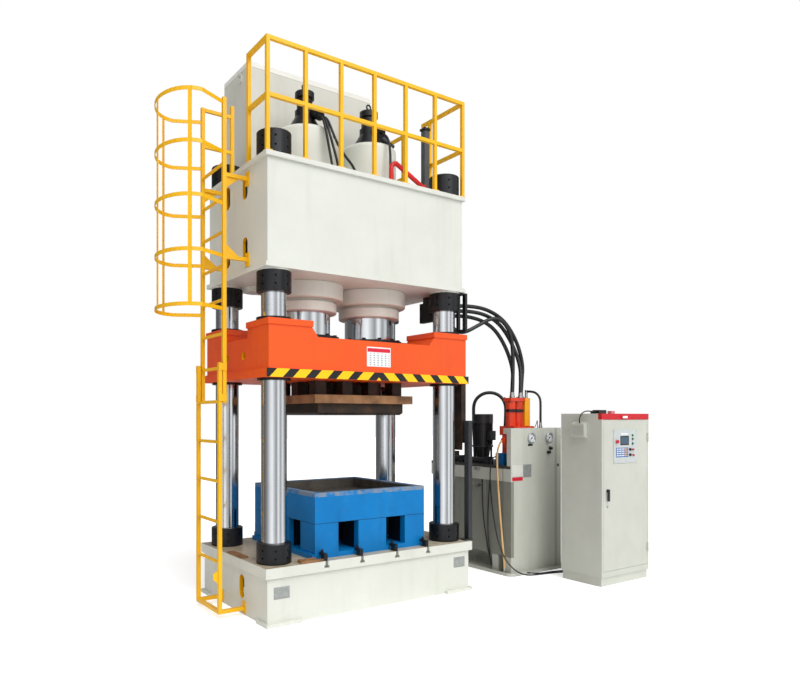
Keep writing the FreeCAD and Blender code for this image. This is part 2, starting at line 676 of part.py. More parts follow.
def make_ladder_lower():
    """Lower ladder length, set outward of the upper one, with hooks at the lap and feet to the bed."""
    x = LADDER_X - LADDER_OFFSET
    top = LADDER_LAP[1]
    foot = 60
    pieces = [ladder_stile(x, s * LADDER_HALF, (foot - LADDER_TUBE / 2, top)) for s in (-1, 1)]
    for z in LOWER_RUNGS + (LADDER_LAP[0] + 10,):
        pieces.append(rod_between((x, -LADDER_HALF, z), (x, LADDER_HALF, z), RUNG_R))
    pieces.append(square_tube((x, -LADDER_HALF, foot), (x, LADDER_HALF, foot), LADDER_TUBE))
    wall = -(BED_HALF_X - BED_INSET)
    for s in (-1, 1):
        y = s * LADDER_HALF
        pieces.append(square_tube((x, y, foot), (wall, y, foot), LADDER_TUBE))
        pieces.append(box((wall - 10, wall), (y - 30, y + 30), (foot - 40, foot + 60)))
        for z in (LADDER_LAP[0] + 45, LADDER_LAP[1] - 35):
            out = y + s * (LADDER_TUBE / 2)
            side = sorted((out, out + s * 6))
            pieces.append(box((x - LADDER_TUBE / 2, x + LADDER_OFFSET + LADDER_TUBE / 2), side, (z - 30, z + 30)))
    out = x - LADDER_TUBE / 2
    lug = prism([(out, 300), (out, 410), (out - 43, 385), (out - 43, 340)], "y", -LADDER_HALF - 4, 8)
    pieces.append(lug)
    return [join(pieces)]


def cage_point(angle, grow=0):
    a = math.radians(angle)
    return (CAGE_CENTRE_X - (CAGE_HALF_X + grow) * math.cos(a), (CAGE_HALF_Y + grow) * math.sin(a))


def make_cage():
    """Five flat hoops round the climber with three upright straps."""
    thick, height = CAGE_BAND
    inner = LADDER_X - LADDER_TUBE / 2
    steps = 10

    def hoop_face(grow):
        arc = [cage_point(-90 + 180 * i / (2 * steps), grow) for i in range(2 * steps + 1)]
        ends = [(inner, LADDER_HALF + grow), (inner, -LADDER_HALF - grow)]
        return arc + ends

    solid_outer = prism(hoop_face(thick), "z", 0, height)
    solid_inner = prism(hoop_face(0), "z", -1, height + 2)
    hoop = solid_outer.cut(solid_inner)
    pieces = [hoop.translated(V(0, 0, z - height / 2)) for z in CAGE_HOOPS]
    low = CAGE_HOOPS[0] - height / 2
    high = CAGE_HOOPS[-1] + height / 2
    for angle in (0, -68, 68):
        px, py = cage_point(angle, thick / 2)
        strap = box((-thick / 2, thick / 2), (-height / 2, height / 2), (low, high))
        turn = -angle * CAGE_HALF_X / CAGE_HALF_Y
        strap.rotate(V(0, 0, 0), Z_AXIS, turn)
        pieces.append(strap.translated(V(px, py, 0)))
    return [join(pieces)]


def make_exit_handrail():
    """Handrail from the ladder's back stile to a post on the crown."""
    y = LADDER_HALF
    start = LADDER_X + LADDER_TUBE / 2
    post = -1013
    pieces = [square_tube((post, y, CROWN_TOP), (post, y, 4560 + RAIL / 2), RAIL)]
    for z in (4145, LADDER_TOP - LADDER_TUBE / 2):
        pieces.append(square_tube((start, y, z), (post, y, z), LADDER_TUBE - 4))
    pieces.append(box((post - 45, post + 45), (y - 45, y + 45), (CROWN_TOP, CROWN_TOP + RAIL_PLATE)))
    return [join(pieces)]


# ---------------------------------------------------------------- slide and dies

def make_slide():
    """Welded slide with a lower flange, raised corner pads, column bores and side holes."""
    bx = SLIDE_BODY_HALF_X
    by = SLIDE_BODY_HALF_Y
    low = SLIDE_BOTTOM + SLIDE_FLANGE
    pieces = [box((-SLIDE_FLANGE_HALF_X, SLIDE_FLANGE_HALF_X), (-SLIDE_FLANGE_HALF_Y, SLIDE_FLANGE_HALF_Y),
                  (SLIDE_BOTTOM, low))]
    pieces.append(box((-bx, bx), (-by, by), (low - 1, SLIDE_TOP)))
    for sx in (-1, 1):
        for sy in (-1, 1):
            x = sorted((sx * PAD_INNER_X, sx * bx))
            y = sorted((sy * PAD_INNER_Y, sy * by))
            pieces.append(box(x, y, (SLIDE_TOP - 1, PAD_TOP)))
            lip_x = sorted((sx * (PAD_INNER_X - PAD_LIP), sx * (bx + PAD_LIP)))
            lip_y = sorted((sy * (PAD_INNER_Y - PAD_LIP), sy * (by + PAD_LIP)))
            pieces.append(box(lip_x, lip_y, (PAD_TOP - 1, PAD_TOP + PAD_PLATE)))
            slope = [(sx * (PAD_INNER_X + 1), SLIDE_TOP - 1), (sx * (PAD_INNER_X + 1), PAD_TOP),
                     (sx * (PAD_INNER_X - PAD_SLOPE), SLIDE_TOP - 1)]
            pieces.append(prism(slope, "y", y[0], y[1] - y[0]))
    body = join(pieces)
    for x in ((-PAD_INNER_X + 30, -SLIDE_RIB), (SLIDE_RIB, PAD_INNER_X - 30)):
        for y in ((-by + 2 * SLIDE_RIB, -SLIDE_RIB), (SLIDE_RIB, by - 2 * SLIDE_RIB)):
            body = body.cut(box(x, y, (low + 10, SLIDE_TOP - 45)))
    for x, y in columns_xy():
        body = body.cut(rod(x, y, (SLIDE_BOTTOM - 5, PAD_TOP + PAD_PLATE + 5), COLUMN_R + 8))
    for side in (-1, 1):
        x = bx + 5 if side > 0 else -bx - 5
        for y in (-SIDE_HOLE_Y, SIDE_HOLE_Y):
            body = body.cut(Part.makeCylinder(SIDE_HOLE_R, 60, V(x, y, SIDE_HOLE_Z), V(-side, 0, 0)))
    return body


def make_guide_bushes():
    """Bronze-lined guide bushes with black collars above and below the slide."""
    shapes = []
    top = PAD_TOP + PAD_PLATE
    for x, y in columns_xy():
        sleeve = rod(x, y, (SLIDE_BOTTOM, top), COLUMN_R + 7.5)
        collar = rod(x, y, (top, top + BUSH_HEIGHT), BUSH_R)
        under = rod(x, y, (SLIDE_BOTTOM - 20, SLIDE_BOTTOM), BUSH_R - 8)
        bore = rod(x, y, (SLIDE_BOTTOM - 30, top + BUSH_HEIGHT + 5), COLUMN_R + BUSH_CLEAR)
        shapes.append(join([sleeve, collar, under]).cut(bore))
    return shapes


def make_slide_plate():
    """Blank instruction plate on the slide's front."""
    y = -SLIDE_BODY_HALF_Y
    return [box((-113, 153), (y - 3, y), (2153, 2329))]


def make_upper_die():
    """Spacer blocks, bolster plate and core of the upper die."""
    half_x, half_y, plate_low, thick = PUNCH_PLATE
    core_x, core_y, core_low = PUNCH_CORE
    plate_top = plate_low + thick
    plate = box((-half_x, half_x), (-half_y, half_y), (plate_low, plate_top))
    core = box((-core_x, core_x), (-core_y, core_y), (core_low, plate_low))
    bottom = [e for e in core.Edges if e.Vertexes[0].Z < core_low + 1 and e.Vertexes[-1].Z < core_low + 1]
    core = core.makeChamfer(20, bottom)
    spacers = []
    for x in (-430, -145, 145, 430):
        for y in (-330, 0, 330):
            spacers.append(box((x - 55, x + 55), (y - 60, y + 60), (plate_top, SLIDE_BOTTOM)))
    return [plate], [core], spacers


def make_die_base():
    """Base plate of the lower die on the bed."""
    plate = box((-DIE_HALF_X - 30, DIE_HALF_X + 30), (-DIE_HALF_Y, DIE_HALF_Y), (BED_TOP, BED_TOP + DIE_BASE))
    return [plate]


def make_die_block():
    """Blue cavity block on three rows of legs."""
    low = BED_TOP + DIE_BASE
    block = box((-DIE_HALF_X, DIE_HALF_X), (-DIE_HALF_Y, DIE_HALF_Y), (DIE_LEG_TOP, DIE_TOP))
    seat = box((-DIE_HALF_X + DIE_WALL, DIE_HALF_X - DIE_WALL), (-DIE_HALF_Y + DIE_WALL, DIE_HALF_Y - DIE_WALL),
               (DIE_TOP - DIE_FLOOR, DIE_TOP + 5))
    pieces = [block.cut(seat)]
    for x in ((-DIE_HALF_X, -370), (-155, 155), (375, DIE_HALF_X)):
        for y in ((-DIE_HALF_Y, -330), (-120, 120), (330, DIE_HALF_Y)):
            pieces.append(box(x, y, (low, DIE_LEG_TOP + 1)))
    return [join(pieces)]


def make_die_liner():
    """Steel liner of the cavity with its ground floor and four corner pads."""
    out_x = DIE_HALF_X - DIE_WALL
    out_y = DIE_HALF_Y - DIE_WALL
    floor = DIE_TOP - DIE_FLOOR
    tray = box((-out_x, out_x), (-out_y, out_y), (floor, DIE_TOP - 6))
    well = box((-out_x + DIE_LINER, out_x - DIE_LINER), (-out_y + DIE_LINER, out_y - DIE_LINER), (floor + 25, DIE_TOP))
    return [tray.cut(well)]


def make_die_clamps():
    """Strap clamps with studs and nuts that hold the die base to the T-slots."""
    shapes = []
    thick = 18
    wide = 17
    for x in T_SLOT_X:
        for side in (-1, 1):
            y_out = side * (DIE_HALF_Y + 92)
            y = sorted((side * (DIE_HALF_Y + 4), y_out))
            heel = box((x - wide, x + wide), sorted((side * (DIE_HALF_Y + 50), y_out)), (BED_TOP, BED_TOP + DIE_BASE))
            strap = box((x - wide, x + wide), y, (BED_TOP + DIE_BASE, BED_TOP + DIE_BASE + thick))
            stud_y = side * (DIE_HALF_Y + 28)
            stud = rod(x, stud_y, (BED_TOP - T_SLOT_DEPTH, BED_TOP + DIE_BASE + thick + 26), 9)
            nut = flat_bolt(x, stud_y, BED_TOP + DIE_BASE + thick, 15, 16)
            shapes.append(join([heel, strap, stud, nut]))
    return shapes


# ---------------------------------------------------------------- right-hand side fittings

def make_side_fittings():
    """Cable rack and hose manifold under the crown's right end, duct on the crown, switch post on the bed."""
    rack_x = (CROWN_HALF_X + 26, CROWN_HALF_X + 54)
    low = PAD_TOP + 83
    rack = [box(rack_x, (-600, -560), (low, CROWN_BOTTOM)),
            box(rack_x, (-500, -470), (low, CROWN_BOTTOM)),
            box(rack_x, (-600, -470), (low, low + 35)),
            box((CROWN_HALF_X - 60, rack_x[1]), (-600, -470), (CROWN_BOTTOM - 12, CROWN_BOTTOM))]
    duct = [box((975, 1035), (-165, -105), (CROWN_TOP, 4690)), box((965, 1045), (-175, -95), (4690, 4712))]
    post = [box((BED_HALF_X, BED_HALF_X + 50), (-640, -580), (BED_TOP - 70, 1665)),
            box((BED_HALF_X - 50, BED_HALF_X + 50), (-650, -560), (BED_TOP, BED_TOP + 12))]
    middle = (MANIFOLD_Y[0] + MANIFOLD_Y[1]) / 2
    manifold = [box(MANIFOLD_X, MANIFOLD_Y, MANIFOLD_Z),
                box(MANIFOLD_X, (middle - 60, middle + 60), (MANIFOLD_Z[1] - 1, CROWN_BOTTOM))]
    sleeve = rod(COLUMN_X, -COLUMN_Y, (CROWN_BOTTOM - 20, CROWN_BOTTOM + 1), NUT_R + 12)
    return [join(rack).cut(sleeve), join(duct), join(post), join(manifold)]


def make_trip_channel():
    """Brown steel channel hung from the slide's right end, which trips the switches on the post."""
    x = SLIDE_FLANGE_HALF_X
    web = box((x, x + 16), (-560, -430), (1370, SLIDE_BOTTOM + SLIDE_FLANGE))
    flanges = [box((x, x + 60), (-560, -548), (1440, SLIDE_BOTTOM + SLIDE_FLANGE)),
               box((x, x + 60), (-442, -430), (1440, SLIDE_BOTTOM + SLIDE_FLANGE))]
    return [join([web] + flanges)]


# ---------------------------------------------------------------- power pack

def make_pack_base():
    """Drip tray with rounded corners and the four feet that carry the oil tank."""
    x = (PACK_X[0] - 60, PACK_X[1] + 60)
    y = (PACK_Y[0] - 50, PACK_Y[1] + 60)
    tray = box(x, y, (0, PACK_BASE))
    edges = [e for e in tray.Edges if abs(e.Vertexes[0].Z - e.Vertexes[-1].Z) > 10]
    tray = tray.makeFillet(70, edges)
    well = box((x[0] + 8, x[1] - 8), (y[0] + 8, y[1] - 8), (TRAY_FLOOR, PACK_BASE + 5))
    edges = [e for e in well.Edges if abs(e.Vertexes[0].Z - e.Vertexes[-1].Z) > 10]
    tray = tray.cut(well.makeFillet(62, edges))
    feet = []
    for fx in (PACK_X[0] + 60, PACK_X[1] - 60):
        for fy in (PACK_Y[0] + 240, PACK_Y[1] - 90):
            feet.append(box((fx - 45, fx + 45), (fy - 45, fy + 45), (TRAY_FLOOR - 1, OIL_TANK_BOTTOM)))
    return [join([tray] + feet)]


def make_oil_tank():
    """Oil tank: body with a proud lid band, side stiffeners, and the set-back strip beside the panel."""
    x = (PACK_X[0] + 16, PACK_X[1] - 16)
    y = (PACK_Y[0] + PANEL_DEPTH + 2, PACK_Y[1])
    body = box(x, y, (OIL_TANK_BOTTOM, OIL_TANK_TOP - RIM_HEIGHT + 2))
    band = box((x[0] - 14, x[1] + 14), (y[0] + 12, y[1] + 14), (OIL_TANK_TOP - RIM_HEIGHT, OIL_TANK_TOP))
    front = box((x[0] + 14, x[1]), (y[0], y[0] + 20), (OIL_TANK_TOP - RIM_HEIGHT, OIL_TANK_TOP))
    strip = box((PANEL_X[1] + 4, PACK_X[1] + 15), (PACK_Y[0] + 26, PACK_Y[0] + PANEL_DEPTH + 2), (TRAY_FLOOR, PANEL_TOP))
    stiff = [box((x[0] - 10, x[0] + 2), (sy - 25, sy + 25), (OIL_TANK_BOTTOM, OIL_TANK_TOP - RIM_HEIGHT)) for sy in (-120, 330)]
    tank = join([body, band, front, strip] + stiff)
    wall = TANK_WALL
    inside = box((x[0] + wall, x[1] - wall), (y[0] + 20 + wall, y[1] - wall),
                 (OIL_TANK_BOTTOM + wall, OIL_TANK_TOP - wall))
    return [tank.cut(inside)]


def make_gauge_panel():
    """Folded front panel with side returns and a folded top edge."""
    x = PANEL_X
    y = PACK_Y[0]
    sheet = 4
    low = TRAY_FLOOR
    face = box(x, (y, y + sheet), (low, PANEL_TOP))
    left = box((x[0], x[0] + sheet), (y, y + PANEL_DEPTH), (low, PANEL_TOP))
    right = box((x[1] - sheet, x[1]), (y, y + PANEL_DEPTH), (low, PANEL_TOP))
    top = box(x, (y, y + PANEL_DEPTH), (PANEL_TOP - sheet, PANEL_TOP))
    sill = box(x, (y, y + PANEL_DEPTH), (low, low + sheet))
    panel = join([face, left, right, top, sill])
    panel = panel.cut(box((x[0] - 5, x[0] + sheet), (y + 60, y + PANEL_DEPTH + 5), (OIL_TANK_TOP, PANEL_TOP - 60)))
    for gx in GAUGE_X:
        panel = panel.cut(Part.makeCylinder(GAUGE_R - 8, 20, V(gx, y - 5, GAUGE_Z), V(0, 1, 0)))
    return [panel]


def make_pressure_gauges():
    """Two pressure gauges: case, bezel ring and dial."""
    shapes = []
    y = PACK_Y[0]
    for gx in GAUGE_X:
        case = Part.makeCylinder(GAUGE_R - 8.5, 46, V(gx, y - 4, GAUGE_Z), V(0, 1, 0))
        bezel = Part.makeCylinder(GAUGE_R, 20, V(gx, y - 20, GAUGE_Z), V(0, 1, 0))
        recess = Part.makeCylinder(GAUGE_R - 9, 14, V(gx, y - 21, GAUGE_Z), V(0, 1, 0))
        stem = Part.makeCylinder(4, 8, V(gx, y - 13.7, GAUGE_Z), V(0, 1, 0))
        shapes.append(join([join([case, bezel]).cut(recess), stem]))
    return shapes


def gauge_needle(gx):
    """Needle on its hub, pointing down to the left where the dial starts."""
    y = PACK_Y[0] - 17
    hub = Part.makeCylinder(7, 3, V(gx, y, GAUGE_Z), V(0, 1, 0))
    blade = prism([(gx - 3, GAUGE_Z - 12), (gx + 3, GAUGE_Z - 12), (gx + 1, GAUGE_Z + 38), (gx - 1, GAUGE_Z + 38)], "y", y, 2)
    blade.rotate(V(gx, y, GAUGE_Z), V(0, 1, 0), -135)
    return [join([hub, blade])]


def panel_knob(x, z):
    """Turn knob on the panel."""
    y = PACK_Y[0]
    skirt = Part.makeCylinder(19, 10, V(x, y - 10.3, z), V(0, 1, 0))
    grip = Part.makeCylinder(14, 22, V(x, y - 32, z), V(0, 1, 0))
    bar = box((x - 4, x + 4), (y - 38, y - 31), (z - 14, z + 14))
    return [join([skirt, grip, bar])]


def make_pump_motor():
    """Upright motor with cooling fins, fan cowl, terminal box, bell housing and pump flange on the tank lid."""
    x = MOTOR_X
    y = MOTOR_Y
    lid = OIL_TANK_TOP
    bell = (lid, lid + 180)
    body = (bell[1] + 20, 1700)
    housing = join([rod(x, y, (lid, lid + 24), MOTOR_R + 6), cone(x, y, (lid + 23, bell[1]), 66, 92),
                    rod(x, y, (bell[1] - 1, body[0]), MOTOR_R + 4)])
    for k in range(4):
        angle = math.radians(45 + 90 * k)
        hx = x + (MOTOR_R - 20) * math.cos(angle)
        hy = y + (MOTOR_R - 20) * math.sin(angle)
        housing = join([housing, rod(hx, hy, (lid + 20, bell[1] + 2), 12)])
    motor = rod(x, y, body, MOTOR_R - 16)
    fins = []
    for k in range(24):
        fin = box((MOTOR_R - 20, MOTOR_R - 3), (-2.5, 2.5), (body[0] + 6, body[1] - 70))
        fin.rotate(V(0, 0, 0), Z_AXIS, 15 * k)
        fins.append(fin.translated(V(x, y, 0)))
    cowl = rod(x, y, (body[1] - 72, body[1] + 36), MOTOR_R)
    box_side = box((x - 45, x + 45), (y - MOTOR_R - 46, y - MOTOR_R + 22), (body[0] + 60, body[0] + 170))
    lugs = [rod_between((x - MOTOR_R - 14, y, body[1] - 8), (x + MOTOR_R + 14, y, body[1] - 8), 13)]
    return [housing, join([motor, cowl, box_side] + fins + lugs)]


def make_valve_block():
    """Cartridge valve manifold on a stand behind the panel, with two upright valve bodies and a pilot body."""
    x = BLOCK_X
    y = BLOCK_Y
    lid = OIL_TANK_TOP
    stand = box((x[0] + 20, x[1] - 20), (y[0] + 20, y[1] - 20), (lid, 1500))
    base = box(x, y, (1499, 1600))
    pieces = [stand, base]
    middle = (y[0] + y[1]) / 2
    for bx in (x[0] + 62, x[0] + 178):
        pieces.append(rod(bx, middle, (1599, BLOCK_TOP - 22), 54))
        pieces.append(rod(bx, middle, (1758, 1786), 64))
        pieces.append(box((bx - 58, bx + 58), (middle - 58, middle + 58), (BLOCK_TOP - 42, BLOCK_TOP)))
    pieces.append(box((x[1] - 86, x[1]), (middle - 48, middle + 48), (1599, BLOCK_TOP)))
    bracket = prism([(x[0], 1540), (x[0] - 150, 1490), (x[0] - 176, 1462), (x[0] - 176, 1424), (x[0] - 20, 1405),
                     (x[0] + 30, 1440)], "y", y[0] - 24, 50)
    pieces.append(bracket)
    return [join(pieces)]


def make_hose_fittings():
    """Chromed hose ends and unions, the drain hose's steel tip and the tank's two ball valves."""
    shapes = []
    for x, y, z, r in FITTING_SEATS:
        union = rod(x, y, (z, z + 26), r + 7)
        shapes.append(join([union, rod(x, y, (z + 25, z + FITTING_LENGTH), r + 2)]))
    for y, z in MANIFOLD_PORTS:
        start = (MANIFOLD_X[1], y, z)
        union = rod_between(start, (start[0] + 26, y, z), MAIN_HOSE_D / 2 + 7)
        sleeve = rod_between((start[0] + 25, y, z), (start[0] + FITTING_LENGTH, y, z), MAIN_HOSE_D / 2 + 2)
        shapes.append(join([union, sleeve]))
    x, y, z = ELBOW_AT
    stub = rod_between(ELBOW_AT, RETURN_ROUTE[0], RETURN_HOSE_D / 2 + 3)
    shapes.append(join([rod(x, y, (BLOCK_TOP, z + 18), RETURN_HOSE_D / 2 + 4), stub]))
    tip_x, tip_y, tip_z = DRAIN_ROUTE[-1]
    shapes.append(rod(tip_x, tip_y, (TRAY_FLOOR, tip_z), DRAIN_HOSE_D / 2 - 3))
    return shapes + make_ball_valves()


def make_filter_cover():
    """Blue filter cover on the tank's lid."""
    lid = OIL_TANK_TOP
    cover = box((1960, 2070), (-330, -210), (lid, lid + 130))
    cover = cover.makeFillet(8, [e for e in cover.Edges if abs(e.Vertexes[0].Z - e.Vertexes[-1].Z) > 50])
    return [cover]


def make_lid_pipes():
    """Black pipes, their blocks and an air breather on the tank's lid."""
    lid = OIL_TANK_TOP
    pipe = rod_between((1960, -140, lid + 42), (1960, 620, lid + 42), 34)
    blocks = [box((1920, 2000), (y - 30, y + 30), (lid, lid + 84)) for y in (-110, 300, 590)]
    breather = join([rod(2080, 560, (lid, lid + 60), 30), rod(2080, 560, (lid + 59, lid + 120), 52)])
    return [join([pipe] + blocks), breather]


def make_ball_valves():
    """Two small drain valves on the tank's left side, under the lid band and on it."""
    shapes = []
    face = PACK_X[0]
    for z in VALVE_Z:
        start = face + 2 if z > OIL_TANK_TOP - RIM_HEIGHT else face + 16
        pipe = rod_between((start, VALVE_Y, z), (face - 60, VALVE_Y, z), 11)
        body = box((face - 50, face - 14), (VALVE_Y - 18, VALVE_Y + 18), (z - 18, z + 18))
        cap = rod_between((face - 58, VALVE_Y, z), (face - 74, VALVE_Y, z), 15)
        shapes.append(join([pipe, body, cap]))
    return shapes


def valve_lever(z):
    """Lever on a ball valve: hub on top and a flat handle."""
    x = PACK_X[0] - 32
    hub = rod(x, VALVE_Y, (z + 18.3, z + 30), 9)
    handle = box((x - 7, x + 7), (VALVE_Y - 80, VALVE_Y + 4), (z + 26, z + 30))
    return [join([hub, handle])]


# ---------------------------------------------------------------- cabinet

def make_cabinet():
    """Cabinet: open-fronted shell on a plinth, with a header rail and a vent hood on its left side."""
    x = CAB_X
    y = CAB_Y
    wall = 4
    depth = DOOR_THICK + DOOR_GAP
    outer = box(x, (y[0], y[1]), (CAB_PLINTH, CAB_TOP))
    inside = box((x[0] + wall, x[1] - wall), (y[0] - 5, y[1] - wall), (CAB_PLINTH + wall, CAB_TOP - wall))
    shell = outer.cut(inside)
    header = box(x, (y[0], y[0] + 30), (DOOR_TOP + DOOR_GAP, CAB_TOP))
    jambs = [box((x[0], x[0] + DOOR_SIDE - DOOR_GAP), (y[0], y[0] + 40), (CAB_PLINTH, CAB_TOP)),
             box((x[1] - DOOR_SIDE + DOOR_GAP, x[1]), (y[0], y[0] + 40), (CAB_PLINTH, CAB_TOP))]
    sill = box(x, (y[0], y[0] + 40), (CAB_PLINTH, DOOR_LOW - DOOR_GAP))
    stop = box((x[0] + DOOR_SIDE - DOOR_GAP - 1, x[0] + DOOR_SIDE + 20), (y[0] + depth, y[0] + 40), (CAB_PLINTH, CAB_TOP))
    shell = join([shell, header, sill, stop] + jambs)
    plinth = box((x[0] + 12, x[1] - 12), (y[0] + 14, y[1] - 12), (0, CAB_PLINTH))
    plinth = plinth.cut(box((x[0] + 24, x[1] - 24), (y[0] + 26, y[1] - 24), (-5, CAB_PLINTH)))
    knuckles = []
    for z in HINGE_Z:
        halves = [rod(HINGE_X, HINGE_Y, (z - 20, z + 20), HINGE_PIN_R)]
        for low in (z - 45, z + 15):
            halves.append(rod(HINGE_X, HINGE_Y, (low + 0.3, low + 29.7), HINGE_R))
            halves.append(box((HINGE_X, HINGE_X + 20), (HINGE_Y + HINGE_R - 3, y[0] + 1), (low + 0.3, low + 29.7)))
        knuckles.append(join(halves))
    back_plate = box((x[0] + 60, x[1] - 60), (y[1] - wall - 26, y[1] - wall), (CAB_PLINTH + 120, CAB_TOP - 160))
    hood = make_vent_hood()
    return [join([shell, plinth] + knuckles), back_plate, hood]


def make_vent_hood():
    """Louvred hood over the fan on the cabinet's left side."""
    face = CAB_X[0]
    y = (CAB_Y[0] + 170, CAB_Y[0] + 330)
    outline = [(face, 1655), (face - 52, 1630), (face - 52, 1505), (face, 1485)]
    hood = prism(outline, "y", y[0], y[1] - y[0])
    for k in range(4):
        z = 1528 + 24 * k
        hood = hood.cut(box((face - 60, face - 44), (y[0] + 14, y[1] - 14), (z, z + 10)))
    return hood


def make_cabinet_door():
    """Cabinet door with its window for the control panel."""
    x = (CAB_X[0] + DOOR_SIDE, CAB_X[1] - DOOR_SIDE)
    y = (CAB_Y[0], CAB_Y[0] + DOOR_THICK)
    door = box(x, y, (DOOR_LOW, DOOR_TOP))
    pan = box((x[0] + 20, x[1] - 20), (y[0] + 3, y[1] + 5), (DOOR_LOW + 20, DOOR_TOP - 20))
    door = door.cut(pan)
    window = box((SCREEN_X[0] + 12, SCREEN_X[1] - 12), (y[0] - 5, y[1] + 5), (SCREEN_Z[0] + 12, SCREEN_Z[1] - 12))
    door = door.cut(window)
    for z in HINGE_Z:
        barrel = rod(HINGE_X, HINGE_Y, (z - 15, z + 15), HINGE_R)
        leaf = box((HINGE_X - 20, HINGE_X), (HINGE_Y + HINGE_R - 3, y[0] + 1), (z - 15, z + 15))
        bore = rod(HINGE_X, HINGE_Y, (z - 16, z + 16), HINGE_PIN_R + HINGE_CLEAR)
        door = join([door, barrel, leaf]).cut(bore)
    return [door]


def make_control_panel():
    """Operator panel on the door: frame plate, recessed display and keypad."""
    y = CAB_Y[0]
    plate = box(SCREEN_X, (y - 6, y), SCREEN_Z)
    back = box((SCREEN_X[0] + 13, SCREEN_X[1] - 13), (y - 1, y + 16), (SCREEN_Z[0] + 13, SCREEN_Z[1] - 13))
    body = join([plate, back])
    display = box(DISPLAY_X, (y - 8, y + 4), DISPLAY_Z)
    keypad = box(KEYPAD_X, (y - 8, y + 4), KEYPAD_Z)
    body = body.cut(display).cut(keypad)
    for bx, bz in CONTROL_SEATS:
        body = body.cut(Part.makeCylinder(CONTROL_R + 1, 24, V(bx, y - 7, bz), V(0, 1, 0)))
    return [body]


def make_display_and_keypad():
    """Screen glass and membrane keypad, let into the operator panel."""
    y = CAB_Y[0]
    return [box(DISPLAY_X, (y - 7, y + 4), DISPLAY_Z), box(KEYPAD_X, (y - 7, y + 4), KEYPAD_Z)]


def push_button(x, z, head, length):
    """Button head on its stem, sliding in the operator panel."""
    y = CAB_Y[0]
    stem = Part.makeCylinder(CONTROL_R, 18, V(x, y - 7, z), V(0, 1, 0))
    cap = Part.makeCylinder(head, length - 8, V(x, y - 7 - length, z), V(0, 1, 0))
    neck = Part.makeCylinder(CONTROL_R - 1, length, V(x, y - 7 - length, z), V(0, 1, 0))
    return [join([stem, neck, cap])]


def selector(x, z):
    """Selector knob with a pointer bar."""
    y = CAB_Y[0]
    stem = Part.makeCylinder(CONTROL_R, 18, V(x, y - 7, z), V(0, 1, 0))
    skirt = Part.makeCylinder(13, 8, V(x, y - 15, z), V(0, 1, 0))
    bar = box((x - 4, x + 4), (y - 26, y - 14), (z - 13, z + 13))
    return [join([stem, skirt, bar])]


def make_door_handle():
    """Swing handle of the door lock."""
    y = CAB_Y[0]
    boss = Part.makeCylinder(15, 14, V(HANDLE_X, y - 14.3, HANDLE_Z), V(0, 1, 0))
    grip = box((HANDLE_X - 11, HANDLE_X + 11), (y - 26, y - 12), (HANDLE_Z - 105, HANDLE_Z + 14))
    edges = [e for e in grip.Edges if abs(e.Vertexes[0].Y - e.Vertexes[-1].Y) > 8]
    return [join([boss, grip.makeFillet(6, edges)])]


def make_cabinet_fittings():
    """Cable box and gland on the cabinet's roof."""
    z = CAB_TOP
    device = box((2420, 2540), (-1210, -1130), (z, z + 38))
    gland = rod(2380, -1150, (z, z + 30), 14)
    return [device, gland]




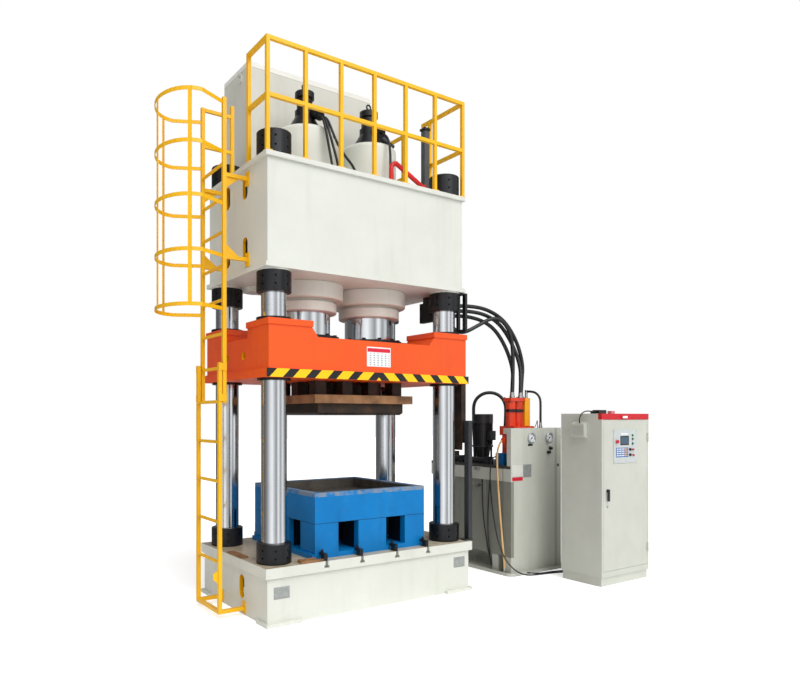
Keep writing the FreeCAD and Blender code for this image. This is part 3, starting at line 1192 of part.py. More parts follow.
def main():
    os.makedirs("parts", exist_ok=True)
    save("bed", [make_bed()])
    save("columns", make_columns())
    save("column_nuts", make_column_nuts())
    save("crown", [make_crown()])
    save("cylinders", make_cylinders())
    save("cylinder_rings", make_cylinder_rings())
    save("rams", make_rams())
    save("ram_flanges", make_ram_flanges())
    save("prefill_valves", make_prefill_valves())
    save("filling_tank", make_filling_tank())
    save("bypass_pipe", make_bypass_pipe())
    save("railings", make_railings() + make_exit_handrail())
    save("ladder_upper", make_ladder_upper())
    save("ladder_lower", make_ladder_lower())
    save("ladder_cage", make_cage())
    save("slide", [make_slide()])
    save("guide_bushes", make_guide_bushes())
    save("slide_plate", make_slide_plate())
    save("trip_channel", make_trip_channel())
    plate, core, spacers = make_upper_die()
    save("upper_die_plate", plate)
    save("upper_die_core", core)
    save("die_spacers", spacers)
    save("die_base", make_die_base())
    save("die_block", make_die_block())
    save("die_liner", make_die_liner())
    save("die_clamps", make_die_clamps())
    save("side_fittings", make_side_fittings())
    save("pack_base", make_pack_base())
    save("oil_tank", make_oil_tank())
    save("gauge_panel", make_gauge_panel())
    save("pressure_gauges", make_pressure_gauges())
    save("gauge_needle_left", gauge_needle(GAUGE_X[0]))
    save("gauge_needle_right", gauge_needle(GAUGE_X[1]))
    save("panel_knob_upper", panel_knob(*KNOB_UPPER))
    save("panel_knob_lower", panel_knob(*KNOB_LOWER))
    save("pump_motor", make_pump_motor() + make_lid_pipes())
    save("valve_block", make_valve_block())
    save("hose_fittings", make_hose_fittings())
    save("filter_cover", make_filter_cover())
    save("valve_lever_upper", valve_lever(VALVE_Z[0]))
    save("valve_lever_lower", valve_lever(VALVE_Z[1]))
    save("cabinet", make_cabinet() + make_cabinet_fittings())
    save("cabinet_door", make_cabinet_door())
    save("control_panel", make_control_panel() + make_display_and_keypad())
    save("emergency_stop", push_button(*ESTOP_AT, 18, 22))
    save("start_button", push_button(*START_AT, 11, 14))
    save("stop_button", push_button(*STOP_AT, 11, 14))
    save("mode_selector", selector(*MODE_AT))
    save("speed_selector", selector(*SPEED_AT))
    save("door_handle", make_door_handle())
    for number, route in enumerate(MAIN_ROUTES, 1):
        save(f"main_hose_{number}", [cord(route, MAIN_HOSE_D, f"main {number}")])
    save("pump_hose", [cord(PUMP_ROUTE, PUMP_HOSE_D, "pump")])
    save("return_hose", [cord(RETURN_ROUTE, RETURN_HOSE_D, "return")])
    save("drain_hose", [cord(DRAIN_ROUTE, DRAIN_HOSE_D, "drain")])
    save("valve_hoses", [cord(route, VALVE_HOSE_D, "valve") for route in VALVE_ROUTES])
    signal = [cord(route, SIGNAL_CABLE_D, "signal") for route in SIGNAL_ROUTES]
    power = [cord(route, POWER_CABLE_D, "power") for route in POWER_ROUTES]
    save("pack_cables", signal + power)
    save("cabinet_cable", [cord(CABINET_ROUTE, CABINET_CABLE_D, "cabinet")])


main()
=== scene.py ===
"""Looks of a four-column hydraulic press with its dies, ladder, platform, power pack and cabinet.

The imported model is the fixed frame. This add-on paints it and adds its hoses, dials, plates and trim.
Lengths are metres in the frame's own axes: +X right along the front, +Y back, +Z up.
"""

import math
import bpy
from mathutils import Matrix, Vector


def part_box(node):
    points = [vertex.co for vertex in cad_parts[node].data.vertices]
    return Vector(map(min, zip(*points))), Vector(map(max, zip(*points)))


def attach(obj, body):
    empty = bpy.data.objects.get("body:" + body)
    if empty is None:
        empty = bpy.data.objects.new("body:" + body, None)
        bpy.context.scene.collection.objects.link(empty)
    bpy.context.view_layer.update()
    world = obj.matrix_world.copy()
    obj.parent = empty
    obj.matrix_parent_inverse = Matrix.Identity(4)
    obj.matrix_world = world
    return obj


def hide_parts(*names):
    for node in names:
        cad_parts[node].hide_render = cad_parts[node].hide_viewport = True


bl_info = {
    "name": "Hydraulic press looks",
    "version": (1, 0, 0),
    "blender": (4, 5, 0),
    "location": "3D View > Sidebar > Press",
    "description": "Finishes, hoses, dials and trim of a hydraulic press, and its studio",
    "category": "Object",
}

import bpy
from mathutils import Matrix, Vector

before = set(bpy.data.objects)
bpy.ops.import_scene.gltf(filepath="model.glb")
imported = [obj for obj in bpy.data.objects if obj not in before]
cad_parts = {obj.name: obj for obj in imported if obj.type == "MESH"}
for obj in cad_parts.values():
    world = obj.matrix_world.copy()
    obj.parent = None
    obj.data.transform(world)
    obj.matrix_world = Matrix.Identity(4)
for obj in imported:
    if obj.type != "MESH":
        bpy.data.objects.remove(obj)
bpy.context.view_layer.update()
MM = 0.001
ROOT = "press_frame"
DOOR = "door"
FRONT = Vector((0, -1, 0))
UP = Vector((0, 0, 1))
YELLOW = "#F2B000"


# ---------------------------------------------------------------- settings

class PressStudio(bpy.types.PropertyGroup):
    """The studio's light and the camera's lens"""
    sky_light: bpy.props.FloatProperty(name="Sky light", description="Strength of the even light",
                                       default=0.60)
    back_share: bpy.props.FloatProperty(
        name="Back share", description="How bright the room is behind the press, against in front of it",
        default=0.03)
    sun_light: bpy.props.FloatProperty(name="Overhead light",
                                       description="Strength of the soft overhead light", default=2.35)
    sun_tilt: bpy.props.FloatProperty(
        name="Overhead tilt", description="Lean of the overhead light to the front", default=math.radians(44),
        subtype="ANGLE")
    sun_turn: bpy.props.FloatProperty(
        name="Overhead turn", description="Turn of the overhead light to the right", default=math.radians(0),
        subtype="ANGLE")
    eye_height: bpy.props.FloatProperty(
        name="Eye height", description="Height of the camera", default=1.70, unit="LENGTH")
    lens: bpy.props.FloatProperty(
        name="Lens", description="Focal length on a 36 mm frame, in millimetres", default=30.22)


class PressTrim(bpy.types.PropertyGroup):
    """Sizes of the painted marks and of the small trim"""
    bar_pitch: bpy.props.FloatProperty(
        name="Hazard bar pitch", description="Width of one black and one yellow bar", default=0.215,
        unit="LENGTH")
    bar_meet: bpy.props.FloatProperty(
        name="Hazard bars meet", description="Where the bars lean together, right of the middle",
        default=0.012, unit="LENGTH")
    edge: bpy.props.FloatProperty(
        name="Edge", description="Rounding on the edges of plates and boxes", default=0.0015, unit="LENGTH")
    bezel: bpy.props.FloatProperty(
        name="Bezel", description="Radius of the rolled rim round a gauge", default=0.0055, unit="LENGTH")
    ticks: bpy.props.IntProperty(name="Ticks", description="Marks on a gauge's dial", default=21)
    dial_sweep: bpy.props.FloatProperty(
        name="Dial sweep", description="Angle from the first mark to the last", default=math.radians(270),
        subtype="ANGLE")


# ---------------------------------------------------------------- materials

def linear(code):
    """An sRGB hex value as linear red, green, blue and alpha."""
    parts = [int(code[i:i + 2], 16) / 255 for i in (1, 3, 5)]
    return tuple(c / 12.92 if c <= 0.04045 else ((c + 0.055) / 1.055) ** 2.4 for c in parts) + (1.0,)


def add_node(tree, kind, feeds=None, stops=None, **settings):
    """Adds a node with its settings and ramp stops; each input is fed a value or another node's output."""
    node = tree.nodes.new(kind)
    for name, value in settings.items():
        setattr(node, name, value)
    for name, value in (feeds or {}).items():
        if isinstance(value, tuple) and isinstance(value[0], bpy.types.Node):
            tree.links.new(value[0].outputs[value[1]], node.inputs[name])
        else:
            node.inputs[name].default_value = value
    for index, (at, value) in enumerate(stops or ()):
        marks = node.color_ramp.elements
        mark = marks[index] if index < 2 else marks.new(at)
        mark.position = at
        mark.color = linear(value) if isinstance(value, str) else (value, value, value, 1)
    return node


def paint_over(tree, mask, colour):
    """Lays a colour, or another node's colour, over what the shader shows, where the mask node is one."""
    surface = tree.nodes["Principled BSDF"].inputs["Base Color"]
    over = linear(colour) if isinstance(colour, str) else (colour, 0)
    layer = add_node(tree, "ShaderNodeMix", {0: (mask, 0), 7: over}, data_type="RGBA")
    tree.links.new(surface.links[0].from_socket, layer.inputs[6])
    tree.links.new(layer.outputs[2], surface)


def inside_box(tree, low, high):
    """One inside a box in the piece's own coordinates, and nought outside it."""
    place = tree.nodes["Texture Coordinate"]
    away = add_node(tree, "ShaderNodeVectorMath", {0: (place, "Object"),
                                                   1: [(a + b) / 2 for a, b in zip(low, high)]},
                                                   operation="SUBTRACT")
    size = add_node(tree, "ShaderNodeVectorMath", {0: (away, 0)}, operation="ABSOLUTE")
    over = add_node(tree, "ShaderNodeVectorMath", {0: (size, 0), 1: [(b - a) / 2 for a, b in zip(low, high)]},
                    operation="SUBTRACT")
    split = add_node(tree, "ShaderNodeSeparateXYZ", {0: (over, 0)})
    wide = add_node(tree, "ShaderNodeMath", {0: (split, 0), 1: (split, 1)}, operation="MAXIMUM")
    most = add_node(tree, "ShaderNodeMath", {0: (wide, 0), 1: (split, 2)}, operation="MAXIMUM")
    return add_node(tree, "ShaderNodeMath", {0: (most, 0), 1: 0.0}, operation="LESS_THAN")


def paint_box(tree, low, high, colour):
    """Lays a colour over what the shader shows inside a box."""
    paint_over(tree, inside_box(tree, low, high), colour)


def clouds(common, rare):
    """The two tones that a finish clouds between, as ramp stops."""
    return [(0.3, common), (0.75, rare)]


def make_finish(name, tones, cloud=6.0, stretch=(1, 1, 1), rough=(0.3, 0.45), grain=140.0, lay=(1, 1, 1),
                raised=0.08, depth=0.0006, grime=None, share=0.1, runs=(9.0, (1, 1, 0.12)), metallic=0.0,
                ior=1.5):
    """A finish: clouded tones, roughness that follows them, a fine relief, and dirt in runs and specks."""
    material = bpy.data.materials.new(name)
    material.use_nodes = True
    tree = material.node_tree
    shader = tree.nodes["Principled BSDF"]
    shader.inputs["Metallic"].default_value = metallic
    shader.inputs["IOR"].default_value = ior
    place = add_node(tree, "ShaderNodeTexCoord")
    fit = add_node(tree, "ShaderNodeMapping", {"Vector": (place, "Object"), "Scale": stretch})
    drift = add_node(tree, "ShaderNodeTexNoise",
                     {"Vector": (fit, 0), "Scale": cloud, "Detail": 6.0, "Roughness": 0.62})
    tone = add_node(tree, "ShaderNodeValToRGB", {"Fac": (drift, "Fac")}, stops=tones)
    tree.links.new(tone.outputs[0], shader.inputs["Base Color"])
    spread = add_node(tree, "ShaderNodeMapRange", {"Value": (drift, "Fac"), "From Min": 0.25,
                                                   "From Max": 0.75, "To Min": rough[0], "To Max": rough[1]})
    tree.links.new(spread.outputs[0], shader.inputs["Roughness"])
    lie = add_node(tree, "ShaderNodeMapping", {"Vector": (place, "Object"), "Scale": lay})
    fine = add_node(tree, "ShaderNodeTexNoise", {"Vector": (lie, 0), "Scale": grain, "Detail": 3.0})
    relief = add_node(tree, "ShaderNodeBump",
                      {"Height": (fine, "Fac"), "Strength": raised, "Distance": depth})
    tree.links.new(relief.outputs[0], shader.inputs["Normal"])
    if grime:
        fall = add_node(tree, "ShaderNodeMapping", {"Vector": (place, "Object"), "Scale": runs[1]})
        streak = add_node(tree, "ShaderNodeTexNoise", {"Vector": (fall, 0), "Scale": runs[0], "Detail": 6.0})
        mask = add_node(tree, "ShaderNodeValToRGB", {"Fac": (streak, "Fac")}, [(0.52, 0.0), (0.80, share)])
        paint_over(tree, mask, grime)
        fleck = add_node(tree, "ShaderNodeTexNoise",
                         {"Vector": (place, "Object"), "Scale": 95.0, "Detail": 2.0})
        mask = add_node(tree, "ShaderNodeValToRGB", {"Fac": (fleck, "Fac")}, [(0.70, 0.0), (0.76, share)])
        paint_over(tree, mask, grime)
    return material


def patches(tree, scale, stretch, low, high, most):
    """A mask of worn or dirty patches, from nought up to its most."""
    fit = add_node(tree, "ShaderNodeMapping",
                   {"Vector": (tree.nodes["Texture Coordinate"], "Object"), "Scale": stretch})
    noise = add_node(tree, "ShaderNodeTexNoise",
                     {"Vector": (fit, 0), "Scale": scale, "Detail": 8.0, "Roughness": 0.7})
    return add_node(tree, "ShaderNodeValToRGB", {"Fac": (noise, "Fac")}, [(low, 0.0), (high, most)])


def cream_enamel():
    """Cream-white machine enamel of the crown, yellow in the lifting slots."""
    material = make_finish("cream_machine_enamel", clouds("#DCDED6", "#D2D4CB"), 1.6, grime="#77705F",
                           share=0.09)
    tree = material.node_tree
    for y in (-0.182, 0.182):
        for z in (3.160, 3.694):
            for x in ((-1.0785, -1.049), (1.049, 1.0785)):
                paint_box(tree, (x[0], y - 0.056, z - 0.108), (x[1], y + 0.056, z + 0.108), YELLOW)
    return material


def tank_enamel():
    """Filling tank enamel, a shade greyer, with a painted light band along its top rim and a painted shadow
    line under it.
    """
    material = make_finish("tank_enamel", clouds("#D3D2C8", "#C7C6BB"), 1.4, grime="#6E6756", share=0.10)
    tree = material.node_tree
    low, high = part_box("filling_tank")
    # Painted light: a paler band along the top rim, where more light falls on it
    paint_box(tree, (low[0] - 0.02, low[1] - 0.02, high[2] - 0.062),
              (high[0] + 0.02, high[1], high[2] + 0.01), "#E4E3DB")
    # Painted shadow: a thin dark line under the rim's lip, where its shadow falls
    paint_box(tree, (low[0] - 0.02, low[1] - 0.02, high[2] - 0.066),
              (high[0] + 0.02, high[1], high[2] - 0.062), "#9C9A90")
    return material


def bed_enamel():
    """The bed's cream enamel, with yellow lifting slots and an oily ground table top."""
    material = make_finish("bed_machine_enamel", clouds("#D9DBD2", "#CED0C6"), 1.8, grime="#6E6554",
                           share=0.09)
    tree = material.node_tree
    for x in ((-1.1085, -1.069), (1.069, 1.1085)):
        paint_box(tree, (x[0], -0.238, 0.127), (x[1], -0.126, 0.343), YELLOW)
    stain = add_node(tree, "ShaderNodeTexNoise", {"Vector": (tree.nodes["Texture Coordinate"], "Object"),
                                                  "Scale": 5.0, "Detail": 8.0, "Roughness": 0.7})
    oil = add_node(tree, "ShaderNodeValToRGB", {"Fac": (stain, "Fac")},
                   [(0.35, "#A2937A"), (0.8, "#6E604C"), (0.55, "#C2B79F")])
    paint_box(tree, (-1.134, -0.686, 0.4755), (1.134, 0.686, 0.50), oil)
    return material


def slide_enamel(trim):
    """Orange machine enamel, with yellow side holes, painted shade near black at their inner ends, and black
    and yellow hazard bars on the lower flange.
    """
    material = make_finish("orange_machine_enamel", clouds("#F05814", "#E44E0E"), 2.0, grime="#6B2D14",
                           share=0.12)
    tree = material.node_tree
    low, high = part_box("slide")
    split = add_node(tree, "ShaderNodeSeparateXYZ", {0: (tree.nodes["Texture Coordinate"], "Object")})
    away = add_node(tree, "ShaderNodeMath", {0: (split, 0), 1: trim.bar_meet}, operation="SUBTRACT")
    mirror = add_node(tree, "ShaderNodeMath", {0: (away, 0)}, operation="ABSOLUTE")
    slant = add_node(tree, "ShaderNodeMath", {0: (mirror, 0), 1: (split, 2)}, operation="ADD")
    count = add_node(tree, "ShaderNodeMath", {0: (slant, 0), 1: trim.bar_pitch}, operation="DIVIDE")
    turn = add_node(tree, "ShaderNodeMath", {0: (count, 0)}, operation="FRACT")
    bars = add_node(tree, "ShaderNodeValToRGB", {"Fac": (turn, 0)}, [(0.0, "#FFC800"), (0.56, "#101114")])
    bars.color_ramp.interpolation = "CONSTANT"
    paint_box(tree, (low[0] - 0.01, low[1] - 0.01, low[2] + 0.001), (high[0] + 0.01, low[1] + 0.002, 2.100),
              bars)
    for y in (-0.172, 0.172):
        for x in ((-1.0885, -1.035), (1.035, 1.0885)):
            paint_box(tree, (x[0], y - 0.045, 2.19), (x[1], y + 0.045, 2.275), YELLOW)
        # Painted shade: a near black strip at the inner end of each side hole, where the hollow is dark
        for x in ((-1.036, -1.031), (1.031, 1.036)):
            paint_box(tree, (x[0], y - 0.045, 2.19), (x[1], y + 0.045, 2.275), "#17130F")
    return material


def blue_enamel():
    """Blue die paint, scuffed pale on its faces, chipped to bare steel and stained by oil, with painted shade
    inside its hollow.
    """
    material = make_finish("blue_die_enamel", clouds("#007AC0", "#006CAE"), 3.0, rough=(0.36, 0.5),
                           grime="#14212E", share=0.35, ior=1.32)
    tree = material.node_tree
    paint_over(tree, patches(tree, 4.5, (1, 1, 0.5), 0.52, 0.8, 0.3), "#3A96D0")
    paint_over(tree, patches(tree, 15.0, (1, 1, 1.6), 0.64, 0.68, 0.8), "#59626A")
    low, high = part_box("die_block")
    # Painted shade: near black blue on the walls inside the die block's hollow
    paint_box(tree, (low[0] + 0.05, low[1] + 0.07, 0.521), (high[0] - 0.05, high[1] - 0.07, 0.779), "#07121C")
    paint_box(tree, (low[0] - 0.01, low[1] - 0.01, 0.777), (high[0] + 0.01, high[1] + 0.01, 0.782), "#063350")
    rim = inside_box(tree, (low[0] - 0.01, low[1] - 0.01, high[2] - 0.035),
                     (high[0] + 0.01, high[1] + 0.01, high[2] + 0.01))
    worn = patches(tree, 12.0, (1, 1, 1), 0.4, 0.55, 0.8)
    rub = add_node(tree, "ShaderNodeMath", {0: (rim, 0), 1: (worn, 0)}, operation="MULTIPLY")
    paint_over(tree, rub, "#8A8F90")
    return material


def grey_powder():
    """Light grey powder coat on the power pack, with painted shade on a set-back strip at its right edge,
    painted shadow on its left side below the rim, and a dark band on its lid.
    """
    material = make_finish("light_grey_powder_coat", clouds("#C6C8BE", "#BBBDB2"), 2.2, rough=(0.42, 0.55),
                           raised=0.12, grime="#6C6A5C", share=0.12)
    tree = material.node_tree
    # Painted shade: a darker set-back strip at the power pack's right edge
    paint_box(tree, (2.592, -0.52, 0.02), (2.633, -0.40, 1.59), "#A6A89C")
    # Painted shadow: the oil tank's left side below its rim, darker
    paint_box(tree, (1.80, -0.60, 0.19), (1.93, 0.80, 1.003), "#85877D")
    paint_box(tree, (1.80, -0.50, 1.140), (2.70, 0.78, 1.172), "#3A3B38")
    return material


def cabinet_powder():
    """Cabinet powder coat, with the red header and the black device on its roof."""
    material = make_finish("cabinet_powder_coat", clouds("#C8CAC0", "#BEC0B6"), 2.2, rough=(0.42, 0.52),
                           raised=0.12, grime="#7A786C", share=0.06)
    tree = material.node_tree
    low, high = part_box("cabinet")
    paint_box(tree, (low[0] - 0.01, low[1] - 0.01, 1.6755), (high[0] + 0.01, low[1] + 0.06, 1.7375),
              "#C60E20")
    paint_box(tree, (2.30, -1.25, 1.7365), (2.60, -1.08, 1.80), "#1B1C1E")
    return material


def valve_enamel():
    """Orange-red enamel on the valve manifold, its yellow pilot body, black flanges and oil-dark foot."""
    material = make_finish("valve_red_enamel", clouds("#E2401A", "#CC3212"), 5.0, rough=(0.22, 0.36),
                           grime="#2E0E06", share=0.4)
    tree = material.node_tree
    paint_box(tree, (2.291, -0.345, 1.602), (2.380, -0.245, 1.916), "#EFA20A")
    paint_box(tree, (2.04, -0.42, 1.756), (2.2915, -0.18, 1.788), "#1B1210")
    paint_box(tree, (2.04, -0.42, 1.872), (2.2915, -0.18, 1.875), "#1B1210")
    return material


def slide_plate_enamel():
    """White enamelled plate with a red header and blank dotted columns."""
    material = make_finish("enamelled_plate", clouds("#EFEFEF", "#E0E2E2"), 20.0, rough=(0.25, 0.35),
                           raised=0.02)
    tree = material.node_tree
    low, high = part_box("slide_plate")
    paint_box(tree, (low[0] + 0.006, -1, high[2] - 0.046), (high[0] - 0.006, 1, high[2] - 0.012), "#D3203A")
    split = add_node(tree, "ShaderNodeSeparateXYZ", {0: (tree.nodes["Texture Coordinate"], "Object")})
    waves = [add_node(tree, "ShaderNodeMath", {0: (split, axis), 1: math.tau / pitch}, operation="MULTIPLY")
             for axis, pitch in ((0, 0.042), (2, 0.021))]
    peaks = [add_node(tree, "ShaderNodeMath", {0: (wave, 0)}, operation="SINE") for wave in waves]
    both = add_node(tree, "ShaderNodeMath", {0: (peaks[0], 0), 1: (peaks[1], 0)}, operation="MINIMUM")
    dots = add_node(tree, "ShaderNodeMath", {0: (both, 0), 1: 0.35}, operation="GREATER_THAN")
    field = inside_box(tree, (low[0] + 0.014, -1, low[2] + 0.012), (high[0] - 0.014, 1, high[2] - 0.056))
    shown = add_node(tree, "ShaderNodeMath", {0: (dots, 0), 1: (field, 0)}, operation="MULTIPLY")
    paint_over(tree, shown, "#7C828C")
    return material


def panel_membrane():
    """Operator panel: pale membrane, dark screen in a black rim, and a blue keypad without marks."""
    material = make_finish("membrane_panel", clouds("#C4CAC9", "#B9C0C0"), 15.0, rough=(0.28, 0.4),
                           raised=0.03)
    tree = material.node_tree
    y = (-1.37, -1.34)
    paint_box(tree, (2.560, y[0], 1.412), (2.707, y[1], 1.508), "#15191E")
    paint_box(tree, (2.574, y[0], 1.426), (2.693, y[1], 1.494), "#3C566C")
    paint_box(tree, (2.488, y[0], 1.290), (2.692, y[1], 1.388), "#2B62A8")
    for row in range(4):
        for column in range(7):
            x, z = 2.502 + 0.0265 * column, 1.301 + 0.022 * row
            tint = "#E9ECEC" if column < 5 else "#F0B21E"
            paint_box(tree, (x, y[0], z), (x + 0.018, y[1], z + 0.013), tint)
    return material


# The finishes that need no marks: name, tones, and what differs from the usual
PLAIN_FINISHES = {
    # Cream enamel over turned iron, on the cylinders and their rings
    "drum": dict(name="cream_drum_enamel", tones=clouds("#E6E9E1", "#DADDD4"), cloud=2.0, grime="#6B6454",
                 share=0.12),
    # Yellow safety enamel on tube and bar
    "yellow": dict(name="yellow_safety_enamel", tones=clouds("#F6BE00", "#EEB000"), cloud=3.0,
                   grime="#6E5210"),
    # Signal red enamel on the bypass pipe
    "pipe_red": dict(name="red_pipe_enamel", tones=clouds("#E0201A", "#C41512"), rough=(0.2, 0.34),
                     grime="#3A120A"),
    # Oiled black oxide on turned steel, with bare metal at the tool marks
    "oxide": dict(name="black_oxide_steel", tones=[(0.3, "#0C0D0F"), (0.85, "#2E3033"), (0.62, "#191B1F")],
                  cloud=7.0, stretch=(1, 1, 0.4), rough=(0.28, 0.48), grain=60.0, lay=(0.3, 0.3, 6),
                  metallic=0.3),
    # Black stove enamel on the motor, bell housing and lid pipes
    "motor": dict(name="black_stove_enamel", tones=clouds("#0E1012", "#23262A"), cloud=12.0,
                  rough=(0.32, 0.55)),
    # Ground and hard-chromed columns and rams, with fine grinding rings and a thin oil film
    "chrome": dict(name="hard_chrome", tones=[(0.3, "#E2E5E8"), (0.82, "#B5B1A6"), (0.6, "#D0D4D8")],
                   cloud=3.0, stretch=(1.5, 1.5, 0.25), rough=(0.08, 0.2), grain=40.0, lay=(0.15, 0.15, 9),
                   raised=0.02, depth=0.0002, metallic=1.0),
    # Bright zinc plate on hose ends, levers and eyes
    "zinc": dict(name="bright_zinc_plate", tones=[(0.3, "#CDCFD0"), (0.8, "#A7A49A")], cloud=60.0,
                 rough=(0.2, 0.38), metallic=1.0),
    # Flame-cut plate with mill scale and brown rust
    "rust": dict(name="rusty_flame_cut_plate", tones=[(0.28, "#4A3020"), (0.85, "#5D3A22"), (0.48, "#8C6642"),
                                                      (0.66, "#A57C54")], rough=(0.55, 0.85), raised=0.25,
                                                      depth=0.001, metallic=0.1),
    # Oily mill scale on the die's core and spacers and on the trip channel
    "scale": dict(name="oily_mill_scale", tones=[(0.3, "#17120F"), (0.8, "#5A3D25"), (0.55, "#35261B")],
                  cloud=8.0, rough=(0.35, 0.65), grain=90.0, raised=0.2, depth=0.001, metallic=0.3),
    # Ground tool steel of the die liner, hazed by oil
    "ground": dict(name="ground_tool_steel", tones=[(0.3, "#7F7C74"), (0.85, "#453F37"), (0.6, "#66615A")],
                   rough=(0.28, 0.55), grain=30.0, lay=(12, 0.4, 1), raised=0.1, depth=0.0004, metallic=0.85),
    # Grey steel sheet of the cable duct and rack
    "duct": dict(name="grey_sheet_steel", tones=clouds("#8C9092", "#6F7376"), cloud=8.0, rough=(0.35, 0.5),
                 metallic=0.4),
    # Wrapped black hose: satin rubber with the faint print of its cloth wrap
    "hose": dict(name="wrapped_hose_rubber", tones=clouds("#0D0E10", "#1E2023"), cloud=14.0,
                 rough=(0.32, 0.5), grain=260.0, raised=0.12, depth=0.0008),
    # Black cable sheath
    "cable": dict(name="cable_sheath", tones=clouds("#121315", "#26282B"), cloud=20.0, rough=(0.4, 0.55)),
    # Clear braided vinyl hose yellowed by oil
    "vinyl": dict(name="yellowed_vinyl_hose", tones=[(0.3, "#E3C08C"), (0.85, "#B4864C"), (0.6, "#D0A66A")],
                  cloud=9.0, rough=(0.25, 0.42)),
    # Case and rim of a gauge in polished steel
    "gauge": dict(name="gauge_steel", tones=clouds("#C6CCD2", "#A4ACB4"), cloud=30.0, rough=(0.14, 0.26),
                  metallic=0.9),
    # Printed card of a dial, of a label, and of a name plate
    "dial": dict(name="white_dial_card", tones=clouds("#F1F3F3", "#E6E8E8"), cloud=50.0, rough=(0.4, 0.5)),
    "label": dict(name="black_label", tones=clouds("#16181C", "#24272C"), cloud=50.0, rough=(0.35, 0.45)),
    "name_plate": dict(name="grey_name_plate", tones=clouds("#A9ADAA", "#8E9290"), cloud=30.0,
                       rough=(0.3, 0.42), metallic=0.4),
    "red_strip": dict(name="red_label", tones=clouds("#D4203A", "#BE1A32"), cloud=40.0, rough=(0.3, 0.4)),
    # Moulded plastics
    "black_plastic": dict(name="black_moulding", tones=clouds("#101113", "#1D1F22"), cloud=60.0,
                          rough=(0.3, 0.42)),
    "red_plastic": dict(name="red_moulding", tones=clouds("#D3121C", "#B80D16"), cloud=60.0,
                        rough=(0.25, 0.36)),
    "green_lens": dict(name="green_lamp_lens", tones=clouds("#1FA04A", "#127A34"), cloud=60.0,
                       rough=(0.15, 0.25)),
    "pale_plastic": dict(name="pale_moulding", tones=clouds("#D8D9D2", "#C9CAC2"), cloud=40.0,
                         rough=(0.35, 0.45)),
    "pink_box": dict(name="pink_box", tones=clouds("#E08A92", "#CE7680"), cloud=40.0, rough=(0.4, 0.5)),
    "needle": dict(name="needle_paint", tones=clouds("#0E0E10", "#1C1C20"), cloud=60.0, rough=(0.35, 0.45)),
}
FINISHES = {}
NODE_FINISH = {
    "bed": "bed", "columns": "chrome", "column_nuts": "oxide", "crown": "cream", "cylinders": "drum",
    "cylinder_rings": "drum", "rams": "chrome", "ram_flanges": "oxide", "prefill_valves": "oxide",
    "filling_tank": "tank", "bypass_pipe": "pipe_red", "railings": "yellow", "ladder_upper": "yellow",
    "ladder_lower": "yellow", "ladder_cage": "yellow", "slide": "orange", "guide_bushes": "oxide",
    "slide_plate": "plate", "trip_channel": "scale", "upper_die_plate": "rust", "upper_die_core": "scale",
    "die_spacers": "scale", "die_base": "blue", "die_block": "blue", "die_liner": "ground",
    "die_clamps": "oxide", "side_fittings": "fittings", "pack_base": "grey", "oil_tank": "grey",
    "gauge_panel": "grey",
    "pressure_gauges": "gauge", "gauge_needle_left": "needle", "gauge_needle_right": "needle",
    "panel_knob_upper": "black_plastic", "panel_knob_lower": "black_plastic", "pump_motor": "motor",
    "valve_block": "valve_red", "hose_fittings": "zinc", "filter_cover": "blue", "valve_lever_upper": "zinc",
    "valve_lever_lower": "zinc", "cabinet": "cabinet", "cabinet_door": "cabinet", "control_panel": "panel",
    "emergency_stop": "red_plastic", "start_button": "red_plastic", "stop_button": "red_plastic",
    "mode_selector": "black_plastic", "speed_selector": "black_plastic", "door_handle": "black_plastic",
}


def fittings_oxide():
    """Black paint on the rack and manifold, with the duct and switch post in grey steel."""
    material = make_finish("black_rack_paint", clouds("#0E0F11", "#1F2124"), 9.0, rough=(0.3, 0.5))
    tree = material.node_tree
    paint_box(tree, (0.96, -0.19, 3.87), (1.06, -0.08, 4.688), "#4A4E50")
    paint_box(tree, (1.0, -0.66, 0.40), (1.30, -0.55, 1.67), "#2C2F32")
    return material


def make_finishes(trim):
    """Every finish once, by the maker's plain name."""
    FINISHES.update({key: make_finish(**settings) for key, settings in PLAIN_FINISHES.items()})
    FINISHES.update(cream=cream_enamel(), tank=tank_enamel(), bed=bed_enamel(), orange=slide_enamel(trim),
                    blue=blue_enamel(), grey=grey_powder(), cabinet=cabinet_powder(),
                    valve_red=valve_enamel(), plate=slide_plate_enamel(), panel=panel_membrane(),
                    fittings=fittings_oxide())


def paint(obj, finish):
    """Puts one finish on a piece."""
    if not obj.material_slots:
        obj.data.materials.append(FINISHES[finish])
    for slot in obj.material_slots:
        slot.material = FINISHES[finish]


# ---------------------------------------------------------------- hoses

PORT_OUT = 1070
BLOCK_OUT = 1975
LID_OUT = 1230
PORT = (-200, 4500)
CROWN_TOP = 3880
RIM = 1005
